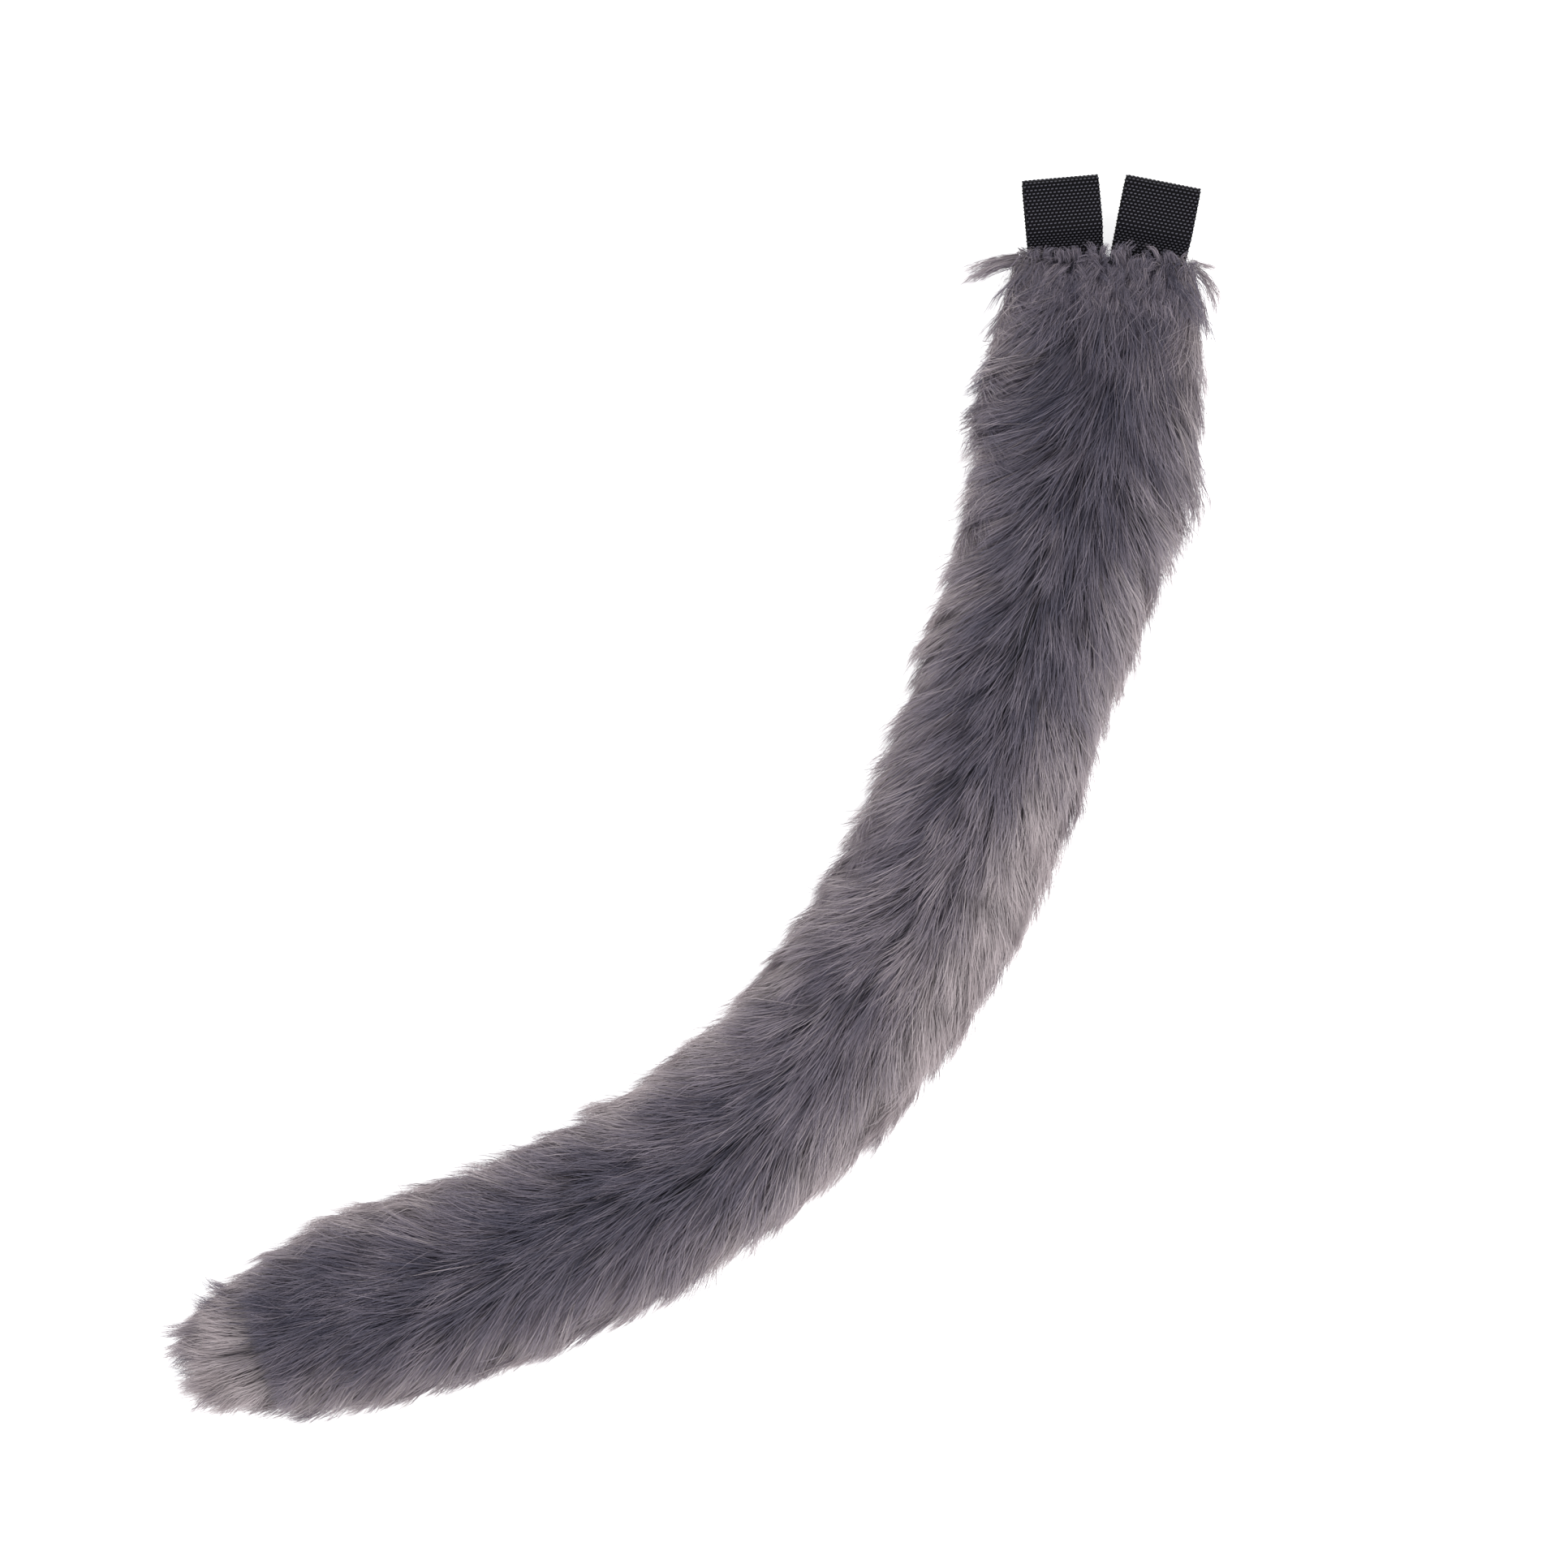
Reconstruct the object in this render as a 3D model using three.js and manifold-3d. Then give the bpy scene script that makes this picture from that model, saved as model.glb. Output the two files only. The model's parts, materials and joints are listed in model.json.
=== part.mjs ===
// A long plush animal tail for a costume: a stuffed faux fur sleeve that lies in one sweeping curve,
// with two folded webbing loops sewn into its top seam for a belt to run through.
// Units are millimetres and +Z is up. The tail rests on the plane Z = 0, and its box is centred on the origin.
// Seen from above, the loops point along +Y and the fur runs down and round towards -X.

import * as THREE from "three";
import { mergeVertices } from "three/addons/utils/BufferGeometryUtils.js";
import Module from "manifold-3d";

const wasm = await Module();
wasm.setup();

// Sleeve of fur cloth, filled with stuffing
const SLEEVE_LENGTH = 508; // along its curve, from the top seam to the round end
const SLEEVE_WIDTH = 52;
const SLEEVE_HEIGHT = 37;
const FUR_CLOTH_THICKNESS = 1.9; // backing cloth on each side of the loops in the seam
const SEAM_LIFT = 4; // the thin seam end stands this much clear of its pressed pile

// Pile
const PILE_LENGTH = 28; // one hair from root to tip
const PILE_REACH = 8.8; // tips stand off the sleeve's sides by this much
const PILE_LOFT = 7; // and off its top by this much
const PILE_PRESSED = 5; // pile under the sleeve, flattened by its weight
const LOCK_WIDTH = 17;
const LOCK_THICKNESS = 8;
const LOCK_PITCH = 27; // from one row of locks to the next
const LOCK_SPACING = 15.2; // from one lock to its neighbour in the row
const LOCK_VARIATION = 0.16; // share by which a lock is longer or shorter than the next

// Webbing loops
const WEBBING_WIDTH = 25;
const WEBBING_THICKNESS = 1.6;
const LOOP_LENGTH = 26; // from the seam to the outside of the fold
const LOOP_OPENING = 4.8; // height of the space that the belt runs through
const LOOP_STEM = 2.6; // the two layers run flat together this far out of the seam
const LOOP_RAMP = 8; // and then the upper one rises to its full height over this length
const LOOP_TUCK = 8; // sewn into the seam
const LOOP_SPACING = 2.3; // between the two loops, where they leave the seam
const LAYER_GAP = 0.4; // between the two layers in the seam
const SEWN_CLEARANCE = 0.3;
const LEFT_LOOP_LEAN = 5; // degrees
const RIGHT_LOOP_LEAN = -11;

const SEAM_MARGIN = 2.6; // fur cloth beside each loop
const STEM_HEIGHT = 2 * WEBBING_THICKNESS + LAYER_GAP;
const SEAM_WIDTH = 2 * (WEBBING_WIDTH + SEAM_MARGIN) + LOOP_SPACING;
const SEAM_HEIGHT = STEM_HEIGHT + 2 * (SEWN_CLEARANCE + FUR_CLOTH_THICKNESS);

// The curve of the tail, seen from above: a chain of arcs, each a share of the sleeve's length
const START_HEADING = 2; // degrees from -Y towards -X
const CURVE_ARCS = [
  { share: 0.12, turn: 9.5 },
  { share: 0.27, turn: 12 },
  { share: 0.25, turn: 28 },
  { share: 0.2, turn: 21 },
  { share: 0.16, turn: -1 },
];

// Sections from the seam to the round end. flare and flat are shares of the way to the seam's own width and
// height, taper is the share of the section left, and fan is the taper that the tips of the pile keep to.
const SECTIONS = [
  { at: 0.0, flare: 1.0, flat: 1.0, taper: 0.96, fan: 1.0 },
  { at: 0.004, flare: 1.0, flat: 0.97, taper: 1.0, fan: 1.0 },
  { at: 0.03, flare: 0.98, flat: 0.72, taper: 1.0, fan: 1.0 },
  { at: 0.07, flare: 0.92, flat: 0.42, taper: 1.0, fan: 1.0 },
  { at: 0.12, flare: 0.8, flat: 0.16, taper: 1.0, fan: 1.0 },
  { at: 0.2, flare: 0.2, flat: 0.02, taper: 1.0, fan: 1.0 },
  { at: 0.3, flare: 0.0, flat: 0.0, taper: 1.0, fan: 1.0 },
  { at: 0.85, flare: 0.0, flat: 0.0, taper: 1.0, fan: 1.0 },
  { at: 0.92, flare: 0.0, flat: 0.0, taper: 0.94, fan: 0.98 },
  { at: 0.96, flare: 0.0, flat: 0.0, taper: 0.8, fan: 0.8 },
  { at: 0.985, flare: 0.0, flat: 0.0, taper: 0.55, fan: 0.66 },
  { at: 0.997, flare: 0.0, flat: 0.0, taper: 0.24, fan: 0.6 },
  { at: 1.0, flare: 0.0, flat: 0.0, taper: 0.08, fan: 0.58 },
  { at: 1.045, flare: 0.0, flat: 0.0, taper: 0.08, fan: 0.2 },
];
const SEAM_SQUARENESS = 5; // exponent of the flat seam's oval
const BODY_SQUARENESS = 2.1; // and of the stuffed body's
const RING_PITCH = 20;
const RING_POINTS = 16;
const RING_GAP = 0.5; // rings of the sleeve closer together than this become one

// How the pile lies at each side of the parting along the top, in degrees from the tail's own direction
const OUTER_SWEEP = 30;
const INNER_SWEEP = 22;
const SWEEP_POWER = 0.6; // below 1, the pile swings out soon beside the parting
const RISE_POWER = 1.7; // above 1, a lock leaves the sleeve steeply and then lies over
const LEAST_TAPER = 0.2; // the locks at the round end draw together no further than this gives

// Shape of one lock from root to tip: along is a share of its length, wide and thick of its own sizes
const LOCK_SHAPE = [
  { along: 0.0, wide: 0.75, thick: 0.8 },
  { along: 0.38, wide: 1.0, thick: 1.0 },
  { along: 0.74, wide: 0.62, thick: 0.6 },
];
const LOCK_SINK = 3.5; // its root starts this far inside the sleeve
const AHEAD = 0.05; // share of its length over which its direction is measured
const GIRTH_STEPS = 360; // steps in which the way round a section is measured
const CURVE_STEPS = 12; // line segments to each arc of a loop's fold

const FUR = new THREE.MeshStandardMaterial({ name: "fur", color: 0x5a5761, roughness: 0.9, metalness: 0 });
const WEBBING = new THREE.MeshStandardMaterial({ name: "webbing", color: 0x15151a, roughness: 0.6, metalness: 0 });

// Small seeded random numbers, so that each build is the same
let seed = 7;
function random() {
  seed = (seed * 16807) % 2147483647;
  return seed / 2147483647;
}

function solidOf(geometry) {
  const bare = geometry.clone();
  bare.deleteAttribute("normal");
  bare.deleteAttribute("uv");
  const merged = mergeVertices(bare, 1e-4);
  return new wasm.Manifold(
    new wasm.Mesh({
      numProp: 3,
      vertProperties: new Float32Array(merged.attributes.position.array),
      triVerts: new Uint32Array(merged.index.array),
    }),
  );
}

function geometryOf(solid) {
  const mesh = solid.getMesh();
  const made = new THREE.BufferGeometry();
  made.setAttribute("position", new THREE.BufferAttribute(new Float32Array(mesh.vertProperties), mesh.numProp));
  made.setIndex(new THREE.BufferAttribute(new Uint32Array(mesh.triVerts), 1));
  made.computeVertexNormals();
  return made;
}

// A closed skin over rings of points, each ring with the same number of points, counter-clockwise as seen
// from the far end. A last ring of one point makes a pointed end.
function skinOver(rings) {
  const points = rings.flat();
  const starts = rings.map((ring, i) => rings.slice(0, i).reduce((sum, r) => sum + r.length, 0));
  const index = [];
  const closeOver = (start, count, turned) => {
    for (let i = 1; i < count - 1; i++)
      index.push(start, start + (turned ? i + 1 : i), start + (turned ? i : i + 1));
  };
  closeOver(starts[0], rings[0].length, true);
  for (let r = 0; r + 1 < rings.length; r++) {
    const count = rings[r].length;
    for (let i = 0; i < count; i++) {
      const next = (i + 1) % count;
      const a = starts[r] + i;
      const b = starts[r] + next;
      if (rings[r + 1].length === 1) {
        index.push(a, b, starts[r + 1]);
      } else {
        const c = starts[r + 1] + next;
        const d = starts[r + 1] + i;
        index.push(a, b, c, a, c, d);
      }
    }
  }
  const last = rings[rings.length - 1];
  if (last.length > 1) closeOver(starts[rings.length - 1], last.length, false);
  const made = new THREE.BufferGeometry().setFromPoints(points);
  made.setIndex(index);
  return made;
}

// One column of the table of sections at a share of the sleeve's length, in straight lines between its rows
function sectionValue(column, at) {
  const held = Math.min(Math.max(at, SECTIONS[0].at), SECTIONS[SECTIONS.length - 1].at);
  const after = Math.max(1, SECTIONS.findIndex((row) => row.at >= held));
  const low = SECTIONS[after - 1];
  const high = SECTIONS[after];
  return THREE.MathUtils.mapLinear(held, low.at, high.at, low[column], high[column]);
}

// Place and heading on the tail's curve at a length from the seam, with Z still at 0
function curveAt(length) {
  const place = new THREE.Vector3();
  let heading = THREE.MathUtils.degToRad(START_HEADING);
  let left = length;
  CURVE_ARCS.forEach((arc, i) => {
    const whole = arc.share * SLEEVE_LENGTH;
    const isLast = i === CURVE_ARCS.length - 1;
    const part = isLast ? left : Math.min(left, whole);
    const turned = (THREE.MathUtils.degToRad(arc.turn) * Math.min(part, whole)) / whole;
    const chord = part * (turned === 0 ? 1 : Math.sin(turned / 2) / (turned / 2));
    const middle = heading + turned / 2;
    place.x -= chord * Math.sin(middle);
    place.y -= chord * Math.cos(middle);
    heading += turned;
    left -= part;
  });
  return {
    place,
    along: new THREE.Vector3(-Math.sin(heading), -Math.cos(heading), 0),
    outer: new THREE.Vector3(Math.cos(heading), -Math.sin(heading), 0),
  };
}

// The sleeve's section at a length from the seam: half sizes, squareness and the height of its middle
function sectionAt(length, taperColumn = "taper") {
  const at = length / SLEEVE_LENGTH;
  const flare = sectionValue("flare", at);
  const flat = sectionValue("flat", at);
  const taper = sectionValue(taperColumn, at);
  const wholeHeight = THREE.MathUtils.lerp(SLEEVE_HEIGHT, SEAM_HEIGHT, flat) * sectionValue("fan", at);
  return {
    halfWidth: (THREE.MathUtils.lerp(SLEEVE_WIDTH, SEAM_WIDTH, flare) * taper) / 2,
    halfHeight: (THREE.MathUtils.lerp(SLEEVE_HEIGHT, SEAM_HEIGHT, flat) * taper) / 2,
    power: 2 / THREE.MathUtils.lerp(BODY_SQUARENESS, SEAM_SQUARENESS, flat),
    middle: PILE_PRESSED + wholeHeight / 2 + SEAM_LIFT * flat,
  };
}

// A point on the sleeve, raised off it by rise. round is the angle about the tail's axis: 0 is the outer side of
// the curve, a quarter turn the top and half a turn the inner side.
function pointOn(length, round, rise, taperColumn) {
  const { place, outer } = curveAt(length);
  const section = sectionAt(length, taperColumn);
  const curved = (value) => Math.sign(value) * Math.abs(value) ** section.power;
  const across = section.halfWidth * curved(Math.cos(round)) + rise * Math.cos(round);
  const up = section.halfHeight * curved(Math.sin(round)) + rise * Math.sin(round);
  return place.addScaledVector(outer, across).setZ(section.middle + up);
}

// The angles at evenly spaced places round the section's edge, about LOCK_SPACING apart. They are counted from
// its outer side over the top, and shift moves them all on by a share of one space.
function evenRound(length, shift) {
  const angles = Array.from({ length: GIRTH_STEPS + 1 }, (_, i) => (i / GIRTH_STEPS) * 2 * Math.PI);
  const edge = angles.map((angle) => pointOn(length, angle, 0));
  const walked = [0];
  for (let i = 1; i < edge.length; i++) walked.push(walked[i - 1] + edge[i].distanceTo(edge[i - 1]));
  const girth = walked[GIRTH_STEPS];
  const count = Math.round(girth / LOCK_SPACING);
  return Array.from({ length: count }, (_, i) => {
    const target = ((i + shift) / count) * girth;
    const after = Math.max(1, walked.findIndex((distance) => distance >= target));
    return THREE.MathUtils.mapLinear(target, walked[after - 1], walked[after], angles[after - 1], angles[after]);
  });
}

function sleeve() {
  const count = Math.round(SLEEVE_LENGTH / RING_PITCH);
  const evenly = Array.from({ length: count + 1 }, (_, i) => (i / count) * SLEEVE_LENGTH);
  const ends = SECTIONS.map((row) => row.at * SLEEVE_LENGTH).filter((s) => s <= SLEEVE_LENGTH);
  const lengths = [...evenly, ...ends].sort((a, b) => a - b);
  const kept = lengths.filter((s, i) => i === 0 || s - lengths[i - 1] > RING_GAP);
  const rings = kept.map((s) =>
    Array.from({ length: RING_POINTS }, (_, i) => pointOn(s, (i / RING_POINTS) * 2 * Math.PI, 0)),
  );
  return solidOf(skinOver(rings));
}

// How far the tips of the pile stand off the sleeve, round its section
function reachAt(round) {
  const side = Math.cos(round) ** 2;
  const upright = Math.sin(round) > 0 ? PILE_LOFT : PILE_PRESSED;
  return PILE_REACH * side + upright * (1 - side);
}

// A point at a share of the way along a lock or hair that is rooted at (length, round)
function pileSpine(length, round, share, pileLength) {
  const fromParting = Math.cos(round);
  const most = THREE.MathUtils.degToRad(fromParting > 0 ? OUTER_SWEEP : INNER_SWEEP);
  const sweep = most * Math.abs(fromParting) ** SWEEP_POWER;
  const root = sectionAt(length);
  const meanRadius = (root.halfWidth + root.halfHeight) / 2 + PILE_LOFT;
  const turned = Math.sign(-fromParting * Math.sin(round)) * ((pileLength * share * Math.sin(sweep)) / meanRadius);
  const further = length + pileLength * share * Math.cos(sweep);
  const risen = 1 - (1 - share) ** RISE_POWER;
  const rootTaper = sectionValue("taper", length / SLEEVE_LENGTH) / sectionValue("fan", length / SLEEVE_LENGTH);
  const gathered = Math.min(1, Math.sqrt(Math.max(rootTaper, LEAST_TAPER)));
  const onSleeve = pointOn(Math.min(further, SLEEVE_LENGTH), round + turned, -LOCK_SINK * (1 - risen));
  const tip = pointOn(further, round + turned, reachAt(round), "fan");
  const axis = curveAt(further).place.setZ(sectionAt(further).middle);
  return onSleeve.lerp(axis.lerp(tip, gathered), risen);
}

// One tapering lock of pile with a ridge along its outside
function lock(length, round) {
  const longer = 1 + LOCK_VARIATION * (2 * random() - 1);
  const pileLength = PILE_LENGTH * longer;
  const wide = LOCK_WIDTH * (2 - longer);
  const spine = (share) => pileSpine(length, round, share, pileLength);
  const axis = curveAt(length).place.setZ(sectionAt(length).middle);
  const rings = LOCK_SHAPE.map((row) => {
    const middle = spine(row.along);
    const ahead = spine(row.along + AHEAD).sub(middle).normalize();
    const outwards = pointOn(length, round, 1).sub(pointOn(length, round, 0)).normalize();
    const sideways = new THREE.Vector3().crossVectors(outwards, ahead).normalize();
    const lifted = new THREE.Vector3().crossVectors(ahead, sideways).normalize();
    const halfWide = (wide * row.wide) / 2;
    const halfThick = (LOCK_THICKNESS * row.thick) / 2;
    return [
      middle.clone().addScaledVector(sideways, halfWide),
      middle.clone().addScaledVector(lifted, halfThick),
      middle.clone().addScaledVector(sideways, -halfWide),
    ];
  });
  return solidOf(skinOver([...rings, [spine(1)]]));
}

// Rows of locks from the seam to the round end, each row staggered against the one before
function lockRows() {
  const spaces = Math.round(SLEEVE_LENGTH / LOCK_PITCH);
  const rows = Array.from({ length: spaces + 1 }, (_, row) =>
    THREE.MathUtils.lerp(LOCK_SINK, SLEEVE_LENGTH - LOCK_SINK, row / spaces),
  );
  return rows.flatMap((length, row) => {
    const shift = row % 2 === 0 ? 0.25 : 0.75;
    return evenRound(length, shift).map((round) => lock(length, round));
  });
}

// Side view of a folded webbing strip: two layers in the seam, then a flat lower layer, a round fold and an
// upper layer that comes down to the seam again. x is the distance from the seam and y the height.
function loopProfile() {
  const half = LAYER_GAP / 2;
  const outerHalf = half + WEBBING_THICKNESS;
  const inner = LOOP_OPENING / 2;
  const outer = inner + WEBBING_THICKNESS;
  const foldAt = LOOP_LENGTH - outer;
  const foldHeight = inner - half;
  const bend = LOOP_STEM + LOOP_RAMP / 2;
  const risen = LOOP_STEM + LOOP_RAMP;
  const profile = new THREE.Shape();
  profile.moveTo(-LOOP_TUCK, -outerHalf);
  profile.lineTo(foldAt, -outerHalf);
  profile.absarc(foldAt, foldHeight, outer, -Math.PI / 2, Math.PI / 2, false);
  profile.lineTo(risen, foldHeight + outer);
  profile.bezierCurveTo(bend, foldHeight + outer, bend, outerHalf, LOOP_STEM, outerHalf);
  profile.lineTo(-LOOP_TUCK, outerHalf);
  profile.lineTo(-LOOP_TUCK, half);
  profile.lineTo(LOOP_STEM, half);
  profile.bezierCurveTo(bend, half, bend, foldHeight + inner, risen, foldHeight + inner);
  profile.lineTo(foldAt, foldHeight + inner);
  profile.absarc(foldAt, foldHeight, inner, Math.PI / 2, -Math.PI / 2, true);
  profile.lineTo(risen, -half);
  profile.lineTo(-LOOP_TUCK, -half);
  profile.closePath();
  return profile;
}

// Turns a side view drawn in x and y into a solid across X, with x along Y and y along Z
const acrossX = new THREE.Matrix4().makeBasis(
  new THREE.Vector3(0, 1, 0),
  new THREE.Vector3(0, 0, 1),
  new THREE.Vector3(1, 0, 0),
);

function loopGeometry() {
  const strip = new THREE.ExtrudeGeometry(loopProfile(), {
    depth: WEBBING_WIDTH,
    bevelEnabled: false,
    curveSegments: CURVE_STEPS,
  });
  return strip.translate(0, 0, -WEBBING_WIDTH / 2).applyMatrix4(acrossX);
}

// The pocket in the seam for one loop's two layers, open past the sleeve's end
function pocketGeometry() {
  const open = 4;
  const deep = LOOP_TUCK + SEWN_CLEARANCE;
  const pocket = new THREE.BoxGeometry(
    WEBBING_WIDTH + 2 * SEWN_CLEARANCE,
    deep + open,
    STEM_HEIGHT + 2 * SEWN_CLEARANCE,
  );
  return pocket.translate(0, (open - deep) / 2, 0);
}

const LOOPS = [
  { name: "belt_loop_left", side: -1, lean: LEFT_LOOP_LEAN },
  { name: "belt_loop_right", side: 1, lean: RIGHT_LOOP_LEAN },
];

function loopPlace(loop) {
  const across = (loop.side * (WEBBING_WIDTH + LOOP_SPACING)) / 2;
  const { place, outer } = curveAt(0);
  return place.addScaledVector(outer, across).setZ(sectionAt(0).middle);
}

function furTail() {
  const pockets = LOOPS.map((loop) =>
    solidOf(
      pocketGeometry()
        .rotateZ(THREE.MathUtils.degToRad(loop.lean))
        .translate(...loopPlace(loop).toArray()),
    ),
  );
  const tableSide = 4 * SLEEVE_LENGTH;
  const table = solidOf(new THREE.BoxGeometry(tableSide, tableSide, SLEEVE_LENGTH).translate(0, 0, -SLEEVE_LENGTH / 2));
  const haired = lockRows().reduce((sum, one) => sum.add(one), sleeve());
  const cut = [...pockets, table].reduce((rest, one) => rest.subtract(one), haired);
  const mesh = new THREE.Mesh(geometryOf(cut), FUR);
  mesh.name = "fur_tail";
  return mesh;
}

function beltLoop(loop) {
  const mesh = new THREE.Mesh(loopGeometry(), WEBBING);
  mesh.name = loop.name;
  mesh.position.copy(loopPlace(loop));
  mesh.rotation.z = THREE.MathUtils.degToRad(loop.lean);
  return mesh;
}

const tail = new THREE.Group();
tail.name = "costume_tail";
tail.add(furTail(), ...LOOPS.map(beltLoop));

// The tail is moved so that the middle of its box stands over the origin
tail.updateMatrixWorld(true);
const box = new THREE.Box3().setFromObject(tail, true);
const middle = box.getCenter(new THREE.Vector3());
tail.position.set(-middle.x, -middle.y, -box.min.z);

const part = new THREE.Group();
part.add(tail);

export default part;
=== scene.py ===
"""A plush costume tail with webbing belt loops, laid on a pale table and seen from straight above.

The stuffed sleeve, its pile of faux fur and the two woven loops are built round the solids of the
loaded frame. Sizes are in millimetres up to the point where a mesh is made, in metres.
"""

import json
import math

import bpy
import numpy as np
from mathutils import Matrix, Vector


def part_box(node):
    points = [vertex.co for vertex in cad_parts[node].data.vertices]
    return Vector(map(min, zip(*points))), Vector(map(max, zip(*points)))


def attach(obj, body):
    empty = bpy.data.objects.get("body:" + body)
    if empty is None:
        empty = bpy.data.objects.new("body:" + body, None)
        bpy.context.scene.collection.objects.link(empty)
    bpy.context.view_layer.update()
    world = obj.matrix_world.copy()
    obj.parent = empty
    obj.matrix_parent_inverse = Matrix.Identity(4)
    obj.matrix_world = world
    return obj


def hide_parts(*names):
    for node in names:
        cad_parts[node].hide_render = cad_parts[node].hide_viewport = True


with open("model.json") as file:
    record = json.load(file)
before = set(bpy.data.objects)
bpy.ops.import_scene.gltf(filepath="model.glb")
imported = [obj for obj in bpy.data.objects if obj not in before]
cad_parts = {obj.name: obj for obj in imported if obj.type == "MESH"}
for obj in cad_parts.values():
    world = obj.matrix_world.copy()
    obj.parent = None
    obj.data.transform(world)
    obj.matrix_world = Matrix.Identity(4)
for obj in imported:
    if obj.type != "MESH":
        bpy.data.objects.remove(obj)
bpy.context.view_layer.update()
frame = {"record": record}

bl_info = {
    "name": "Costume Tail",
    "version": (1, 0, 0),
    "blender": (4, 5, 0),
    "location": "3D View > Sidebar > Costume Tail",
    "description": "Builds a plush costume tail with pile of faux fur and woven belt loops",
    "category": "Add Mesh",
}

MM = 0.001
TINY = 1e-9

# Sleeve of fur cloth, as in the solids
SLEEVE_LENGTH = 508.0
SLEEVE_WIDTH = 52.0
SLEEVE_HEIGHT = 37.0
SEAM_WIDTH = 57.5
SEAM_HEIGHT = 8.0
SEAM_LIFT = 4.0
SEAM_SQUARENESS = 5.0
BODY_SQUARENESS = 2.1
START_HEADING = 2.0

# The sleeve's cloth: how deep its skin lies in the form that the pile stands on, where the hairs are
# rooted too, and the size of a stitch of its knit
SKIN_DEPTH = 1.5
STITCH_SIZE = 0.8

# Pile
PILE_REACH = 8.8
PILE_LOFT = 7.0
PILE_PRESSED = 5.0

# Webbing loops, as in the solids
WEBBING_WIDTH = 25.0
WEBBING_THICKNESS = 1.6
LOOP_LENGTH = 26.0
LOOP_OPENING = 4.8
LOOP_STEM = 2.6
LOOP_RAMP = 8.0
LOOP_TUCK = 8.0
LOOP_SPACING = 2.3
LAYER_GAP = 0.4
LOOP_LEANS = {"belt_loop_left": 5.0, "belt_loop_right": -11.0}

# How their strips are made: points in the fold and the ramp, the core that carries the yarns, how close
# its points are merged, and the start of the yarns' random numbers
FOLD_POINTS = 40
RAMP_POINTS = 30
CORE_THICKNESS = 1.05
MERGED_WITHIN = 0.01
WEAVE_SEED = 5

# A yarn's float: its length, width and height in mm, its slant in degrees with the shares of it between
# which the yarns differ, and the heights on a ball one across between which its map runs up to the
# crown, where the painted highlight sits
YARN_SIZE = (1.28, 1.04, 0.6)
YARN_SLANT = 9.0
SLANT_SPREAD = (0.4, 1.6)
CROWN_HEIGHTS = (0.1, 0.43)

# The photograph's frame
PHOTO_PIXELS = 1932
WEBBING_PIXELS = 93
SEAM_PIXEL = (1366, 314)
MM_PER_PIXEL = WEBBING_WIDTH / WEBBING_PIXELS
SENSOR_WIDTH = 36.0

# The stage, in metres: half the table's side, and the soft square lights with their shares of the key
# light's power
TABLE_HALF = 6.0
LIGHTS = {
    "key_light": {"place": (0.75, -0.35, 1.1), "size": 1.0, "share": 1.0},
    "fill_light": {"place": (-0.8, 0.5, 1.2), "size": 1.2, "share": 0.6},
}

# The curve seen from above: each arc's share of the length, and its turn in degrees towards -X
CURVE_ARCS = [
    {"share": 0.12, "turn": 9.5},
    {"share": 0.27, "turn": 12.0},
    {"share": 0.25, "turn": 28.0},
    {"share": 0.20, "turn": 21.0},
    {"share": 0.16, "turn": -1.0},
]

# Sections from the seam to the round end, as in the solids
SECTION_COLUMNS = ("at", "flare", "flat", "taper", "fan")
SECTIONS = np.array(
    [
        (0.0, 1.0, 1.0, 0.96, 1.0),
        (0.004, 1.0, 0.97, 1.0, 1.0),
        (0.03, 0.98, 0.72, 1.0, 1.0),
        (0.07, 0.92, 0.42, 1.0, 1.0),
        (0.12, 0.8, 0.16, 1.0, 1.0),
        (0.2, 0.2, 0.02, 1.0, 1.0),
        (0.3, 0.0, 0.0, 1.0, 1.0),
        (0.85, 0.0, 0.0, 1.0, 1.0),
        (0.92, 0.0, 0.0, 0.94, 0.98),
        (0.96, 0.0, 0.0, 0.8, 0.8),
        (0.985, 0.0, 0.0, 0.55, 0.66),
        (0.997, 0.0, 0.0, 0.24, 0.6),
        (1.0, 0.0, 0.0, 0.08, 0.58),
        (1.045, 0.0, 0.0, 0.08, 0.2),
    ]
)

# How the pile was combed: its lean away from the parting in degrees and how far it stands off, as
# shares of the usual reach, on the inner and outer side of the curve, at places along in mm
COMBING_COLUMNS = ("along", "inner_lean", "outer_lean", "inner_loft", "outer_loft")
COMBING = np.array(
    [
        (0, 40, 14, 0.6, 0.45),
        (15, 54, 16, 0.9, 0.6),
        (35, 58, 20, 1.2, 1.25),
        (55, 50, 24, 1.15, 1.65),
        (75, 44, 26, 0.85, 1.15),
        (100, 38, 28, 0.8, 0.8),
        (130, 34, 28, 1.05, 0.6),
        (160, 31, 29, 0.95, 0.7),
        (200, 27, 30, 0.8, 0.75),
        (260, 26, 31, 0.65, 0.85),
        (330, 26, 33, 0.75, 1.0),
        (400, 26, 32, 0.8, 0.75),
        (440, 22, 30, 0.75, 0.85),
        (480, 18, 26, 0.7, 1.1),
        (508, 10, 16, 0.55, 1.2),
    ]
)

# Places where the pile is painted lighter or darker. The lighter ones are painted light where its sides
# catch the light, and the darker ones are painted shade where hair shows its shaded underside: along in mm
# from the seam, round in degrees about the axis with 90 on top and 0 on the outer side, the length in mm
# and the spread in degrees over which they fade out, and how much lighter
PAINTED_LIGHT_PATCHES = [
    (4, 85, 24, 80, 0.12),
    (6, 12, 17, 42, 0.34),
    (3, 172, 15, 34, 0.3),
    (34, 160, 24, 48, -0.34),
    (30, 38, 20, 36, -0.16),
    (85, 80, 60, 60, 0.04),
    (198, 54, 42, 54, 0.47),
    (254, 50, 42, 48, 0.28),
    (330, 14, 60, 30, 0.12),
    (302, 158, 36, 42, 0.32),
]
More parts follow.
